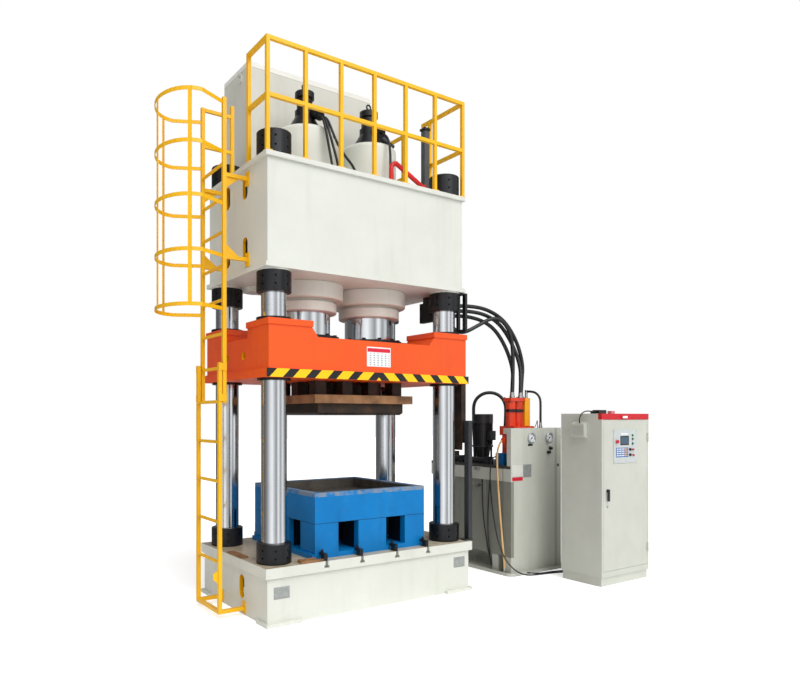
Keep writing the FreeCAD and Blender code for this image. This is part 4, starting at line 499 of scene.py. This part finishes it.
# Name, CAD node, diameter, real length, finish and the route's points in millimetres
HOSES = (
    ("main_hose_1", "main_hose_1", 42, 1.959, "hose", (
        (PORT_OUT, -240, 2835), (1270, -205, 2868), (1560, -140, 2915), (1840, -180, 2905),
        (2110, -205, 2795),
        (2285, -235, 2560), (2362, -255, 2300), (2335, -262, 2130), (2318, -265, BLOCK_OUT))),
    ("main_hose_2", "main_hose_2", 42, 1.855, "hose", (
        (PORT_OUT, -185, 2785), (1270, -150, 2815), (1560, -120, 2865), (1840, -170, 2845),
        (2060, -200, 2740),
        (2215, -235, 2520), (2285, -280, 2290), (2262, -312, 2120), (2240, -325, BLOCK_OUT))),
    ("main_hose_3", "main_hose_3", 42, 1.744, "hose", (
        (PORT_OUT, -140, 2732), (1270, -105, 2765), (1540, -60, 2818), (1790, -120, 2795), (1990, -165, 2700),
        (2130, -205, 2500), (2205, -240, 2270), (2190, -260, 2110), (2175, -265, BLOCK_OUT))),
    ("main_hose_4", "main_hose_4", 42, 1.862, "hose", (
        (PORT_OUT, -294, 2712), (1290, -240, 2640), (1520, -150, 2602), (1740, -190, 2715),
        (1870, -222, 2790),
        (1985, -252, 2792), (2075, -278, 2715), (2125, -296, 2600), (2138, -306, 2430), (2135, -312, 2240),
        (2120, -318, 2095), (2110, -320, BLOCK_OUT))),
    ("pump_hose", "pump_hose", 40, 1.762, "hose", (
        (2262, 404, LID_OUT), (2242, 402, 1460), (2232, 400, 1700), (2232, 400, 1890), (2312, 323, 1995),
        (2426, 214, 1995), (2506, 138, 1885), (2496, 130, 1690), (2450, 105, 1480), (2420, 90, LID_OUT))),
    ("return_hose", "return_hose", 26, 0.448, "hose", (
        (2363, -320, 1990), (2385, -378, 1990), (2404, -428, 1959), (2415, -457, 1905), (2417, -459, 1840),
        (2414, -461, 1740), (2415, -460, 1640))),
    ("drain_hose", "drain_hose", 22, 1.384, "vinyl", (
        (1866, -395, 1448), (1850, -362, 1392), (1846, -345, 1280), (1848, -350, 1090), (1850, -372, 800),
        (1851, -405, 480), (1850, -440, 190), (1850, -452, 80))),
    ("valve_hose_1", "valve_hoses", 24, 0.679, "hose", (
        (-351, *PORT), (-351, -272, 4459), (-350, -320, 4378), (-340, -342, 4270), (-322, -352, 4150),
        (-302, -360, 4040), (-292, -364, 3960), (-292, -364, CROWN_TOP))),
    ("valve_hose_2", "valve_hoses", 24, 0.687, "hose", (
        (-325, *PORT), (-325, -272, 4459), (-322, -320, 4378), (-304, -342, 4272), (-274, -354, 4160),
        (-242, -362, 4050), (-226, -366, 3962), (-226, -366, CROWN_TOP))),
    ("valve_hose_3", "valve_hoses", 24, 0.749, "hose", (
        (-299, *PORT), (-299, -272, 4459), (-292, -320, 4380), (-266, -344, 4280), (-222, -360, 4185),
        (-160, -374, 4100), (-92, -386, 4035), (-50, -392, 3962), (-50, -392, CROWN_TOP))),
    ("valve_hose_4", "valve_hoses", 24, 0.674, "hose", (
        (387, *PORT), (387, -272, 4459), (390, -320, 4378), (392, -336, 4270), (388, -342, 4150),
        (382, -345, 4040), (380, -346, 3962), (380, -346, CROWN_TOP))),
    ("signal_cable_1", "pack_cables", 12, 0.956, "cable", (
        (1893, -80, RIM), (1887, -84, 880), (1883, -94, 720), (1881, -112, 560), (1881, -140, 410),
        (1884, -168, 280), (1894, -188, 160), (1910, -198, 60))),
    ("signal_cable_2", "pack_cables", 12, 0.948, "cable", (
        (1893, -192, RIM), (1887, -188, 880), (1883, -180, 720), (1881, -176, 560), (1882, -178, 410),
        (1885, -192, 270), (1889, -206, 160), (1896, -216, 60))),
    ("power_cable_1", "pack_cables", 14, 2.226, "cable", (
        (1960, -262, 1262), (1905, -258, 1270), (1858, -252, 1228), (1848, -246, 1150), (1850, -238, 1040),
        (1852, -244, 900), (1851, -266, 750), (1842, -300, 600), (1830, -346, 455), (1822, -400, 325),
        (1820, -462, 215), (1838, -535, 120), (1900, -600, 50), (1995, -628, 16), (2130, -645, 9),
        (2290, -664, 7.2), (2440, -700, 7.2), (2560, -770, 12), (2620, -830, 30), (2640, -872, 45))),
    ("power_cable_2", "pack_cables", 14, 0.759, "cable", (
        (2080, -560, 22), (2120, -590, 14), (2210, -618, 8), (2350, -628, 7.2), (2500, -660, 7.2),
        (2630, -730, 10), (2700, -800, 28), (2720, -872, 45))),
    ("cabinet_cable", "cabinet_cable", 12, 0.326, "cable", (
        (2420, -1170, 1757), (2345, -1166, 1760), (2275, -1158, 1764), (2224, -1146, 1742),
        (2204, -1132, 1692),
        (2218, -1122, 1650), (2238, -1116, 1632))),
)


def smooth_line(name, points, diameter, round_steps, steps):
    """A round bar's curve on a smooth line through a list of points in metres."""
    curve = bpy.data.curves.new(name, "CURVE")
    curve.dimensions = "3D"
    curve.bevel_depth = diameter / 2
    curve.bevel_resolution = round_steps
    curve.resolution_u = steps
    curve.use_fill_caps = True
    line = curve.splines.new("NURBS")
    line.points.add(len(points) - 1)
    for point, place in zip(line.points, points):
        point.co = (*place, 1)
    line.order_u = 3
    line.use_endpoint_u = True
    return curve


def lay_hose(name, node, diameter, length, finish, route):
    """One hose or cable on a smooth line through its route's points."""
    points = [tuple(c * MM for c in place) for place in route]
    hose = bpy.data.objects.new(name + "_line", smooth_line(name, points, diameter * MM, 4, 8))
    bpy.context.collection.objects.link(hose)
    paint(hose, finish)
    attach(hose, ROOT)
    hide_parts(node)


# ---------------------------------------------------------------- modelled trim

# The gap behind a plate that is glued or riveted on
GLUE = 0.0002


def deselect():
    """Leaves nothing selected."""
    for obj in bpy.context.selected_objects:
        obj.select_set(False)


def settle(obj, name, finish, body=ROOT):
    """Fixes a new piece's place in its mesh, and gives it its name, finish and body."""
    bpy.ops.object.transform_apply(location=True, rotation=True, scale=True)
    obj.name = name
    paint(obj, finish)
    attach(obj, body)
    return obj


def copy_of(first, name, shift, finish, body=ROOT):
    """A copy of a finished piece, with its own mesh, set off from it by a shift."""
    piece = first.copy()
    piece.data = first.data.copy()
    piece.data.transform(Matrix.Translation(shift))
    bpy.context.collection.objects.link(piece)
    return settle(piece, name, finish, body)


def pick_faces(obj, toward):
    """Selects the faces that look one way."""
    bpy.ops.object.mode_set(mode="EDIT")
    bpy.ops.mesh.select_all(action="DESELECT")
    bpy.ops.mesh.select_mode(type="FACE")
    bpy.ops.object.mode_set(mode="OBJECT")
    for face in obj.data.polygons:
        face.select = face.normal.dot(toward) > 0.9
    bpy.ops.object.mode_set(mode="EDIT")


def block(name, low, high, finish, slot, edge, body=ROOT, toward=FRONT, rim=0.002, sunk=-0.0004):
    """A box with rounded edges, and a rim round a sunk or raised field on the side it is seen from."""
    deselect()
    size = [b - a for a, b in zip(low, high)]
    bpy.ops.mesh.primitive_cube_add(size=1, location=[(a + b) / 2 for a, b in zip(low, high)])
    obj = bpy.context.object
    obj.scale = size
    bpy.ops.object.transform_apply(location=True, rotation=True, scale=True)
    bpy.ops.object.mode_set(mode="EDIT")
    bpy.ops.mesh.select_all(action="SELECT")
    bpy.ops.mesh.bevel(offset=min(edge, 0.3 * min(size)), segments=2, affect="EDGES")
    pick_faces(obj, toward)
    bpy.ops.mesh.inset(thickness=rim, depth=-sunk)
    bpy.ops.object.mode_set(mode="OBJECT")
    return settle(obj, name, finish, body)


def plate(name, across, up, front, thick, finish, slot, edge, **shape):
    """A thin plate on a surface that faces the front."""
    low = (across[0], front - thick, up[0])
    high = (across[1], front - GLUE, up[1])
    return block(name, low, high, finish, slot, edge, **shape)


def disc(name, centre, radius, depth, finish, slot, body=ROOT, toward=FRONT, rim=0.0, sunk=0.0, sides=40,
         edge=0.0006):
    """A round of a given thickness that looks one way, with a rim round a sunk or raised middle."""
    deselect()
    turn = toward.to_track_quat("Z", "Y").to_euler()
    bpy.ops.mesh.primitive_cylinder_add(vertices=sides, radius=radius, depth=depth, location=centre,
                                        rotation=turn)
    obj = bpy.context.object
    bpy.ops.object.transform_apply(location=True, rotation=True, scale=True)
    pick_faces(obj, toward)
    bpy.ops.mesh.bevel(offset=edge, segments=2, affect="EDGES")
    if rim:
        pick_faces(obj, toward)
        bpy.ops.mesh.inset(thickness=rim, depth=-sunk)
    bpy.ops.object.mode_set(mode="OBJECT")
    return settle(obj, name, finish, body)


def discs(centres, radius, depth, finish, slot, body=ROOT, **shape):
    """Like rounds at named centres: one is modelled, and the rest are copies, each with its own mesh."""
    names = list(centres)
    first = disc(names[0], centres[names[0]], radius, depth, finish, slot, body, **shape)
    for name in names[1:]:
        shift = Vector(centres[name]) - Vector(centres[names[0]])
        copy_of(first, name, shift, finish, body)


def corners(across, up, inset):
    """The four places a little inside a plate's corners."""
    sides = (across[0] + inset, across[1] - inset)
    return [(x, z) for z in (up[0] + inset, up[1] - inset) for x in sides]


def hoop(name, centre, radius, thickness, finish, toward=FRONT):
    """A round ring of round bar that looks one way, spun from the bar's section."""
    deselect()
    toward = toward.normalized()
    across = toward.orthogonal().normalized()
    turn = toward.cross(across).to_track_quat("Z", "Y").to_euler()
    start = Vector(centre) + across * radius
    bpy.ops.mesh.primitive_circle_add(vertices=12, radius=thickness, location=start, rotation=turn)
    obj = bpy.context.object
    bpy.ops.object.transform_apply(location=True, rotation=True, scale=True)
    bpy.ops.object.mode_set(mode="EDIT")
    bpy.ops.mesh.select_all(action="SELECT")
    bpy.ops.mesh.spin(steps=48, angle=math.tau, center=centre, axis=toward)
    bpy.ops.mesh.select_all(action="SELECT")
    bpy.ops.mesh.remove_doubles(threshold=0.00001)
    bpy.ops.mesh.normals_make_consistent(inside=False)
    bpy.ops.object.mode_set(mode="OBJECT")
    bpy.ops.object.shade_smooth()
    return settle(obj, name, finish)


def tube(name, points, diameter, finish):
    """A rigid bent pipe between two seats."""
    pipe = bpy.data.objects.new(name, smooth_line(name, points, diameter, 3, 6))
    bpy.context.collection.objects.link(pipe)
    paint(pipe, finish)
    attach(pipe, ROOT)


def make_gauges(trim):
    """Rolled rims, printed dials and their marks on the left gauge, and copies on the right one."""
    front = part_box("pressure_gauges")[0][1]
    height = 1.471
    left, right = 2.198, 2.490
    rim = hoop("gauge_rim_left", (left, front + 0.003, height), 0.0515, trim.bezel, "gauge")
    dial = disc("gauge_dial_left", (left, front + 0.0122, height), 0.0462, 0.0012, "dial", "white_plate",
                edge=0.0002)
    deselect()
    lean = -trim.dial_sweep / 2
    reach = 0.038
    spot = (left + reach * math.sin(lean), front + 0.0112, height + reach * math.cos(lean))
    bpy.ops.mesh.primitive_cube_add(size=1, location=spot, rotation=(0, lean, 0),
                                    scale=(0.0016, 0.0008, 0.009))
    marks = bpy.context.object
    bpy.ops.object.transform_apply(location=True, rotation=True, scale=True)
    bpy.ops.object.mode_set(mode="EDIT")
    bpy.ops.mesh.select_all(action="SELECT")
    bpy.ops.mesh.spin(steps=trim.ticks - 1, angle=trim.dial_sweep, center=(left, front, height),
                      axis=(0, 1, 0), dupli=True)
    bpy.ops.object.mode_set(mode="OBJECT")
    settle(marks, "gauge_marks_left", "label")
    shift = (right - left, 0, 0)
    copy_of(rim, "gauge_rim_right", shift, "gauge")
    copy_of(dial, "gauge_dial_right", shift, "dial")
    copy_of(marks, "gauge_marks_right", shift, "label")


def make_pack_trim(trim):
    """Labels and plates on the power pack's front, the eye at the motor, and screws in the valve flanges."""
    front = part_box("gauge_panel")[0][1]
    edge = trim.edge
    plate("gauge_label", (2.150, 2.225), (1.385, 1.407), front, 0.0015, "label", "black_plastic", edge)
    plate("knob_tag", (2.478, 2.548), (1.384, 1.402), front, 0.0015, "dial", "white_plate", edge)
    plate("notice_plate", (1.903, 2.068), (1.060, 1.183), front, 0.0018, "pale_plastic", "white_plate", edge,
          rim=0.003)
    plate("notice_strip", (1.903, 2.068), (1.012, 1.052), front, 0.0018, "red_strip", "red_plastic", edge,
          rim=0.003)
    across, up = (2.074, 2.205), (1.045, 1.183)
    plate("rating_plate", across, up, front, 0.0018, "name_plate", "chrome_fittings", edge, rim=0.004,
          sunk=-0.0005)
    rivets = {f"rating_rivet_{number}": (x, front - 0.0030, z)
              for number, (x, z) in enumerate(corners(across, up, 0.007), 1)}
    discs(rivets, 0.0026, 0.0022, "zinc", "chrome_fittings", sides=16)
    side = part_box("pump_motor")[0][0]
    hoop("motor_eye", (side + 0.010, 0.145, 1.390), 0.036, 0.0075, "zinc",
         Vector((0.5, -1, 0)))
    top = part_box("valve_block")[1][2]
    screws = {f"flange_screw_{flange}_{row}_{column}": (x + shift, y, top + 0.004)
              for flange, x in enumerate((2.114, 2.230), 1)
              for row, y in enumerate((-0.341, -0.249), 1)
              for column, shift in enumerate((-0.046, 0.046), 1)}
    discs(screws, 0.0075, 0.009, "oxide", "black_oxide", toward=UP, rim=0.0028, sunk=0.004, sides=24)


def make_cabinet_trim(trim):
    """Small box on the cabinet's roof, blank tag on its header, and the lock under its handle."""
    block("roof_box", (2.640, -1.20, 1.7362), (2.700, -1.15, 1.766), "pink_box", "red_plastic", 2 * trim.edge,
          toward=UP, rim=0.006, sunk=0.002)
    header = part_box("cabinet")[0][1]
    plate("header_tag", (2.585, 2.665), (1.688, 1.712), header, 0.002, "dial", "white_plate", trim.edge)
    low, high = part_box("door_handle")
    disc("door_lock", ((low[0] + high[0]) / 2, -1.3535, low[2] - 0.055), 0.011, 0.007, "zinc",
         "chrome_fittings", body=DOOR, rim=0.0035, sunk=0.002, sides=28)


def make_control_trim(trim):
    """Signal lamps, tags and corner screws on the operator panel."""
    low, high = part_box("control_panel")
    front = low[1]
    lamps = (1.512, 1.475, 1.428)
    rings = {f"lamp_ring_{number}": (2.768, front - 0.0018, z) for number, z in enumerate(lamps, 1)}
    discs(rings, 0.0125, 0.0034, "label", "black_plastic", body=DOOR, rim=0.003, sunk=0.001, sides=28)
    lenses = {f"lamp_lens_{number}": (2.768, front - 0.0052, z) for number, z in enumerate(lamps, 1)}
    discs(lenses, 0.0088, 0.0060, "green_lens", "black_plastic", body=DOOR, rim=0.004, sunk=-0.0015, sides=28)
    plate("panel_tag", (2.572, 2.690), (1.520, 1.534), front, 0.0012, "dial", "white_plate", trim.edge,
          body=DOOR, sunk=-0.0003)
    screws = {f"panel_screw_{number}": (x, front - 0.0013, z)
              for number, (x, z) in enumerate(corners((low[0], high[0]), (low[2], high[2]), 0.012), 1)}
    discs(screws, 0.0042, 0.0024, "zinc", "chrome_fittings", body=DOOR, rim=0.0014, sunk=0.0007, sides=20)


def make_bed_trim(trim):
    """Blank name plates with rivets on the bed's front, and rusty packing bars left on the table."""
    front = -0.662
    places = (("left", (-1.052, -0.905), (0.215, 0.315)), ("right", (0.915, 1.058), (0.235, 0.335)))
    for side, across, up in places:
        plate(f"bed_plate_{side}", across, up, front, 0.0022, "name_plate", "chrome_fittings", trim.edge,
              rim=0.005, sunk=-0.0006)
        rivets = {f"bed_rivet_{side}_{number}": (x, front - 0.0033, z)
                  for number, (x, z) in enumerate(corners(across, up, 0.006), 1)}
        discs(rivets, 0.0028, 0.0024, "zinc", "chrome_fittings", sides=16)
    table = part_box("bed")[1][2]
    bars = (((-0.80, -0.676), (-0.58, -0.640), 0.018), ((-0.79, -0.630), (-0.625, -0.592), 0.024),
            ((-1.125, -0.20), (-1.055, 0.10), 0.014))
    for number, (near, far, thick) in enumerate(bars, 1):
        block(f"packing_bar_{number}", (*near, table + GLUE), (*far, table + thick), "rust", "rusty_steel",
              trim.edge, toward=UP, rim=0.004, sunk=0.0012)


def make_tubes():
    """Thin pilot pipes from the valve manifold to the panel's top edge."""
    tube("pilot_pipe_1", ((2.075, -0.395, 1.565), (2.060, -0.430, 1.580), (2.058, -0.452, 1.640),
                          (2.070, -0.470, 1.650), (2.080, -0.478, 1.610), (2.080, -0.480, 1.579)),
         0.009, "pipe_red")
    tube("pilot_pipe_2", ((2.345, -0.398, 1.560), (2.360, -0.432, 1.585), (2.362, -0.455, 1.655),
                          (2.350, -0.472, 1.665), (2.340, -0.480, 1.620), (2.340, -0.482, 1.579)),
         0.008, "hose")


# ---------------------------------------------------------------- stage

# Where the camera stands, how far it turns to the right, and how far its picture is shifted
EYE_AT = (-3.6031, -5.5071)
EYE_TURN = math.radians(33.26)
PICTURE_SHIFT = (0.0771, 0.0933)
# How far the floor reaches for what the chrome mirrors, and how much it glows to the eye
FLOOR_REACH = 3.4
FLOOR_GLOW = 0.45
# What the chrome mirrors round the studio, from behind the press round by its left, its front and its right:
# dark flats at both sides, and lit ones in front
STUDIO_WALLS = [(0.0, 0.25), (1.0, 0.15), (0.18, 0.10), (0.26, 0.11), (0.32, 0.21), (0.375, 0.45),
                (0.425, 0.84), (0.475, 1.0), (0.525, 0.60), (0.575, 0.30), (0.625, 1.0), (0.68, 0.33),
                (0.747, 0.88), (0.82, 0.13)]


def floor_paint():
    """White studio floor that glows a little, and that ends a few steps away for what the chrome mirrors."""
    material = make_finish("pale_studio_floor", clouds("#FDFDFD", "#FAFAFA"), 0.6, rough=(0.88, 0.92),
                           raised=0.0)
    tree = material.node_tree
    shader = tree.nodes["Principled BSDF"]
    seen = add_node(tree, "ShaderNodeLightPath")
    shader.inputs["Emission Color"].default_value = (1, 1, 1, 1)
    glow = add_node(tree, "ShaderNodeMath", {0: (seen, "Is Camera Ray"), 1: FLOOR_GLOW}, operation="MULTIPLY")
    tree.links.new(glow.outputs[0], shader.inputs["Emission Strength"])
    away = add_node(tree, "ShaderNodeVectorMath", {0: (tree.nodes["Texture Coordinate"], "Object")},
                    operation="LENGTH")
    far = add_node(tree, "ShaderNodeMath", {0: (away, "Value"), 1: FLOOR_REACH}, operation="GREATER_THAN")
    open_floor = add_node(tree, "ShaderNodeMath", {0: (far, 0), 1: (seen, "Is Glossy Ray")},
                          operation="MULTIPLY")
    clear = add_node(tree, "ShaderNodeBsdfTransparent")
    whole = add_node(tree, "ShaderNodeMixShader", {0: (open_floor, 0), 1: (shader, 0), 2: (clear, 0)})
    tree.links.new(whole.outputs[0], tree.nodes["Material Output"].inputs["Surface"])
    return material


def make_stage(studio):
    """White studio: pale floor, even light that dims behind the press, overhead light, and the camera."""
    scene = bpy.context.scene
    scene.view_settings.view_transform = "Standard"
    world = bpy.data.worlds.new("studio_white")
    world.use_nodes = True
    tree = world.node_tree
    sky = tree.nodes["Background"]
    sky.inputs["Strength"].default_value = studio.sky_light
    ahead = (math.sin(EYE_TURN), math.cos(EYE_TURN), 0.0)
    aside = (math.cos(EYE_TURN), -math.sin(EYE_TURN), 0.0)
    way = add_node(tree, "ShaderNodeTexCoord")
    facing = add_node(tree, "ShaderNodeVectorMath", {0: (way, "Generated"), 1: ahead},
                      operation="DOT_PRODUCT")
    room = add_node(tree, "ShaderNodeMapRange", {"Value": (facing, "Value"), "From Min": -0.3,
                                                 "From Max": 0.85, "To Min": 1.0,
                                                 "To Max": studio.back_share})
    tree.links.new(room.outputs[0], sky.inputs["Color"])
    across = add_node(tree, "ShaderNodeVectorMath", {0: (way, "Generated"), 1: aside},
                      operation="DOT_PRODUCT")
    back = add_node(tree, "ShaderNodeMath", {0: (facing, "Value"), 1: -1.0}, operation="MULTIPLY")
    angle = add_node(tree, "ShaderNodeMath", {0: (across, "Value"), 1: (back, 0)}, operation="ARCTAN2")
    turn = add_node(tree, "ShaderNodeMapRange",
                    {"Value": (angle, 0), "From Min": -math.pi, "From Max": math.pi})
    walls = add_node(tree, "ShaderNodeValToRGB", {"Fac": (turn, 0)}, STUDIO_WALLS)
    mirrored = add_node(tree, "ShaderNodeBackground", {"Color": (walls, 0), "Strength": 1.25})
    backdrop = add_node(tree, "ShaderNodeBackground", {"Strength": 1.0, "Color": (1, 1, 1, 1)})
    seen = add_node(tree, "ShaderNodeLightPath")
    gloss = add_node(tree, "ShaderNodeMixShader", {0: (seen, "Is Glossy Ray"), 1: (sky, 0), 2: (mirrored, 0)})
    both = add_node(tree, "ShaderNodeMixShader",
                    {0: (seen, "Is Camera Ray"), 1: (gloss, 0), 2: (backdrop, 0)})
    tree.links.new(both.outputs[0], tree.nodes["World Output"].inputs["Surface"])
    scene.world = world
    deselect()
    bpy.ops.mesh.primitive_plane_add(size=80, location=(0, 0, 0))
    floor = bpy.context.object
    floor.name = "studio_floor"
    floor.data.materials.append(floor_paint())
    lamp = bpy.data.lights.new("overhead_softbox", "SUN")
    lamp.energy = studio.sun_light
    lamp.angle = math.radians(60)
    holder = bpy.data.objects.new("overhead_softbox", lamp)
    holder.rotation_euler = (studio.sun_tilt, 0, studio.sun_turn)
    bpy.context.collection.objects.link(holder)
    optics = bpy.data.cameras.new("standing_camera")
    optics.sensor_width = 36
    optics.lens = studio.lens
    optics.shift_x, optics.shift_y = PICTURE_SHIFT
    optics.clip_end = 200
    camera = bpy.data.objects.new("standing_camera", optics)
    camera.location = (*EYE_AT, studio.eye_height)
    camera.rotation_euler = (math.radians(90), 0, -EYE_TURN)
    bpy.context.collection.objects.link(camera)
    scene.camera = camera


# ---------------------------------------------------------------- add-on

class PRESS_OT_stage(bpy.types.Operator):
    """Builds the studio and the camera"""
    bl_idname = "press.stage"
    bl_label = "Studio and camera"

    def execute(self, context):
        make_stage(context.scene.press_studio)
        return {"FINISHED"}


class PRESS_OT_finishes(bpy.types.Operator):
    """Gives every part of the frame its finish"""
    bl_idname = "press.finishes"
    bl_label = "Finishes"

    def execute(self, context):
        make_finishes(context.scene.press_trim)
        for node, finish in NODE_FINISH.items():
            paint(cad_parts[node], finish)
        return {"FINISHED"}


class PRESS_OT_hoses(bpy.types.Operator):
    """Lays the hoses and cables"""
    bl_idname = "press.hoses"
    bl_label = "Hoses and cables"

    def execute(self, context):
        for hose in HOSES:
            lay_hose(*hose)
        return {"FINISHED"}


class PRESS_OT_gauges(bpy.types.Operator):
    """Adds the rims, dials and marks of the pressure gauges"""
    bl_idname = "press.gauges"
    bl_label = "Gauge dials"

    def execute(self, context):
        make_gauges(context.scene.press_trim)
        return {"FINISHED"}


class PRESS_OT_pack_trim(bpy.types.Operator):
    """Adds the power pack's plates, motor eye and flange screws"""
    bl_idname = "press.pack_trim"
    bl_label = "Power pack trim"

    def execute(self, context):
        make_pack_trim(context.scene.press_trim)
        make_tubes()
        return {"FINISHED"}


class PRESS_OT_cabinet_trim(bpy.types.Operator):
    """Adds the cabinet's boxes, tag and lock"""
    bl_idname = "press.cabinet_trim"
    bl_label = "Cabinet trim"

    def execute(self, context):
        make_cabinet_trim(context.scene.press_trim)
        return {"FINISHED"}


class PRESS_OT_control_trim(bpy.types.Operator):
    """Adds the operator panel's lamps, tag and screws"""
    bl_idname = "press.control_trim"
    bl_label = "Operator panel trim"

    def execute(self, context):
        make_control_trim(context.scene.press_trim)
        return {"FINISHED"}


class PRESS_OT_bed_trim(bpy.types.Operator):
    """Adds the bed's blank plates and the packing bars on its table"""
    bl_idname = "press.bed_trim"
    bl_label = "Bed trim"

    def execute(self, context):
        make_bed_trim(context.scene.press_trim)
        return {"FINISHED"}


PIECES = (PRESS_OT_finishes, PRESS_OT_stage, PRESS_OT_hoses, PRESS_OT_gauges, PRESS_OT_pack_trim,
          PRESS_OT_cabinet_trim, PRESS_OT_control_trim, PRESS_OT_bed_trim)


class PRESS_PT_panel(bpy.types.Panel):
    """Lists the pieces of the press"""
    bl_label = "Hydraulic press"
    bl_idname = "PRESS_PT_panel"
    bl_space_type = "VIEW_3D"
    bl_region_type = "UI"
    bl_category = "Press"

    def draw(self, context):
        for settings in (context.scene.press_studio, context.scene.press_trim):
            for name in settings.__annotations__:
                self.layout.prop(settings, name)
        for piece in PIECES:
            self.layout.operator(piece.bl_idname)


CLASSES = (PressStudio, PressTrim) + PIECES + (PRESS_PT_panel,)


def register():
    for cls in CLASSES:
        bpy.utils.register_class(cls)
    bpy.types.Scene.press_studio = bpy.props.PointerProperty(type=PressStudio)
    bpy.types.Scene.press_trim = bpy.props.PointerProperty(type=PressTrim)


def unregister():
    del bpy.types.Scene.press_trim
    del bpy.types.Scene.press_studio
    for cls in reversed(CLASSES):
        bpy.utils.unregister_class(cls)


def main():
    """Builds everything, each piece by its own operator."""
    register()
    bpy.ops.press.finishes()
    bpy.ops.press.stage()
    bpy.ops.press.hoses()
    bpy.ops.press.gauges()
    bpy.ops.press.pack_trim()
    bpy.ops.press.cabinet_trim()
    bpy.ops.press.control_trim()
    bpy.ops.press.bed_trim()
    deselect()


if __name__ == "__main__":
    main()
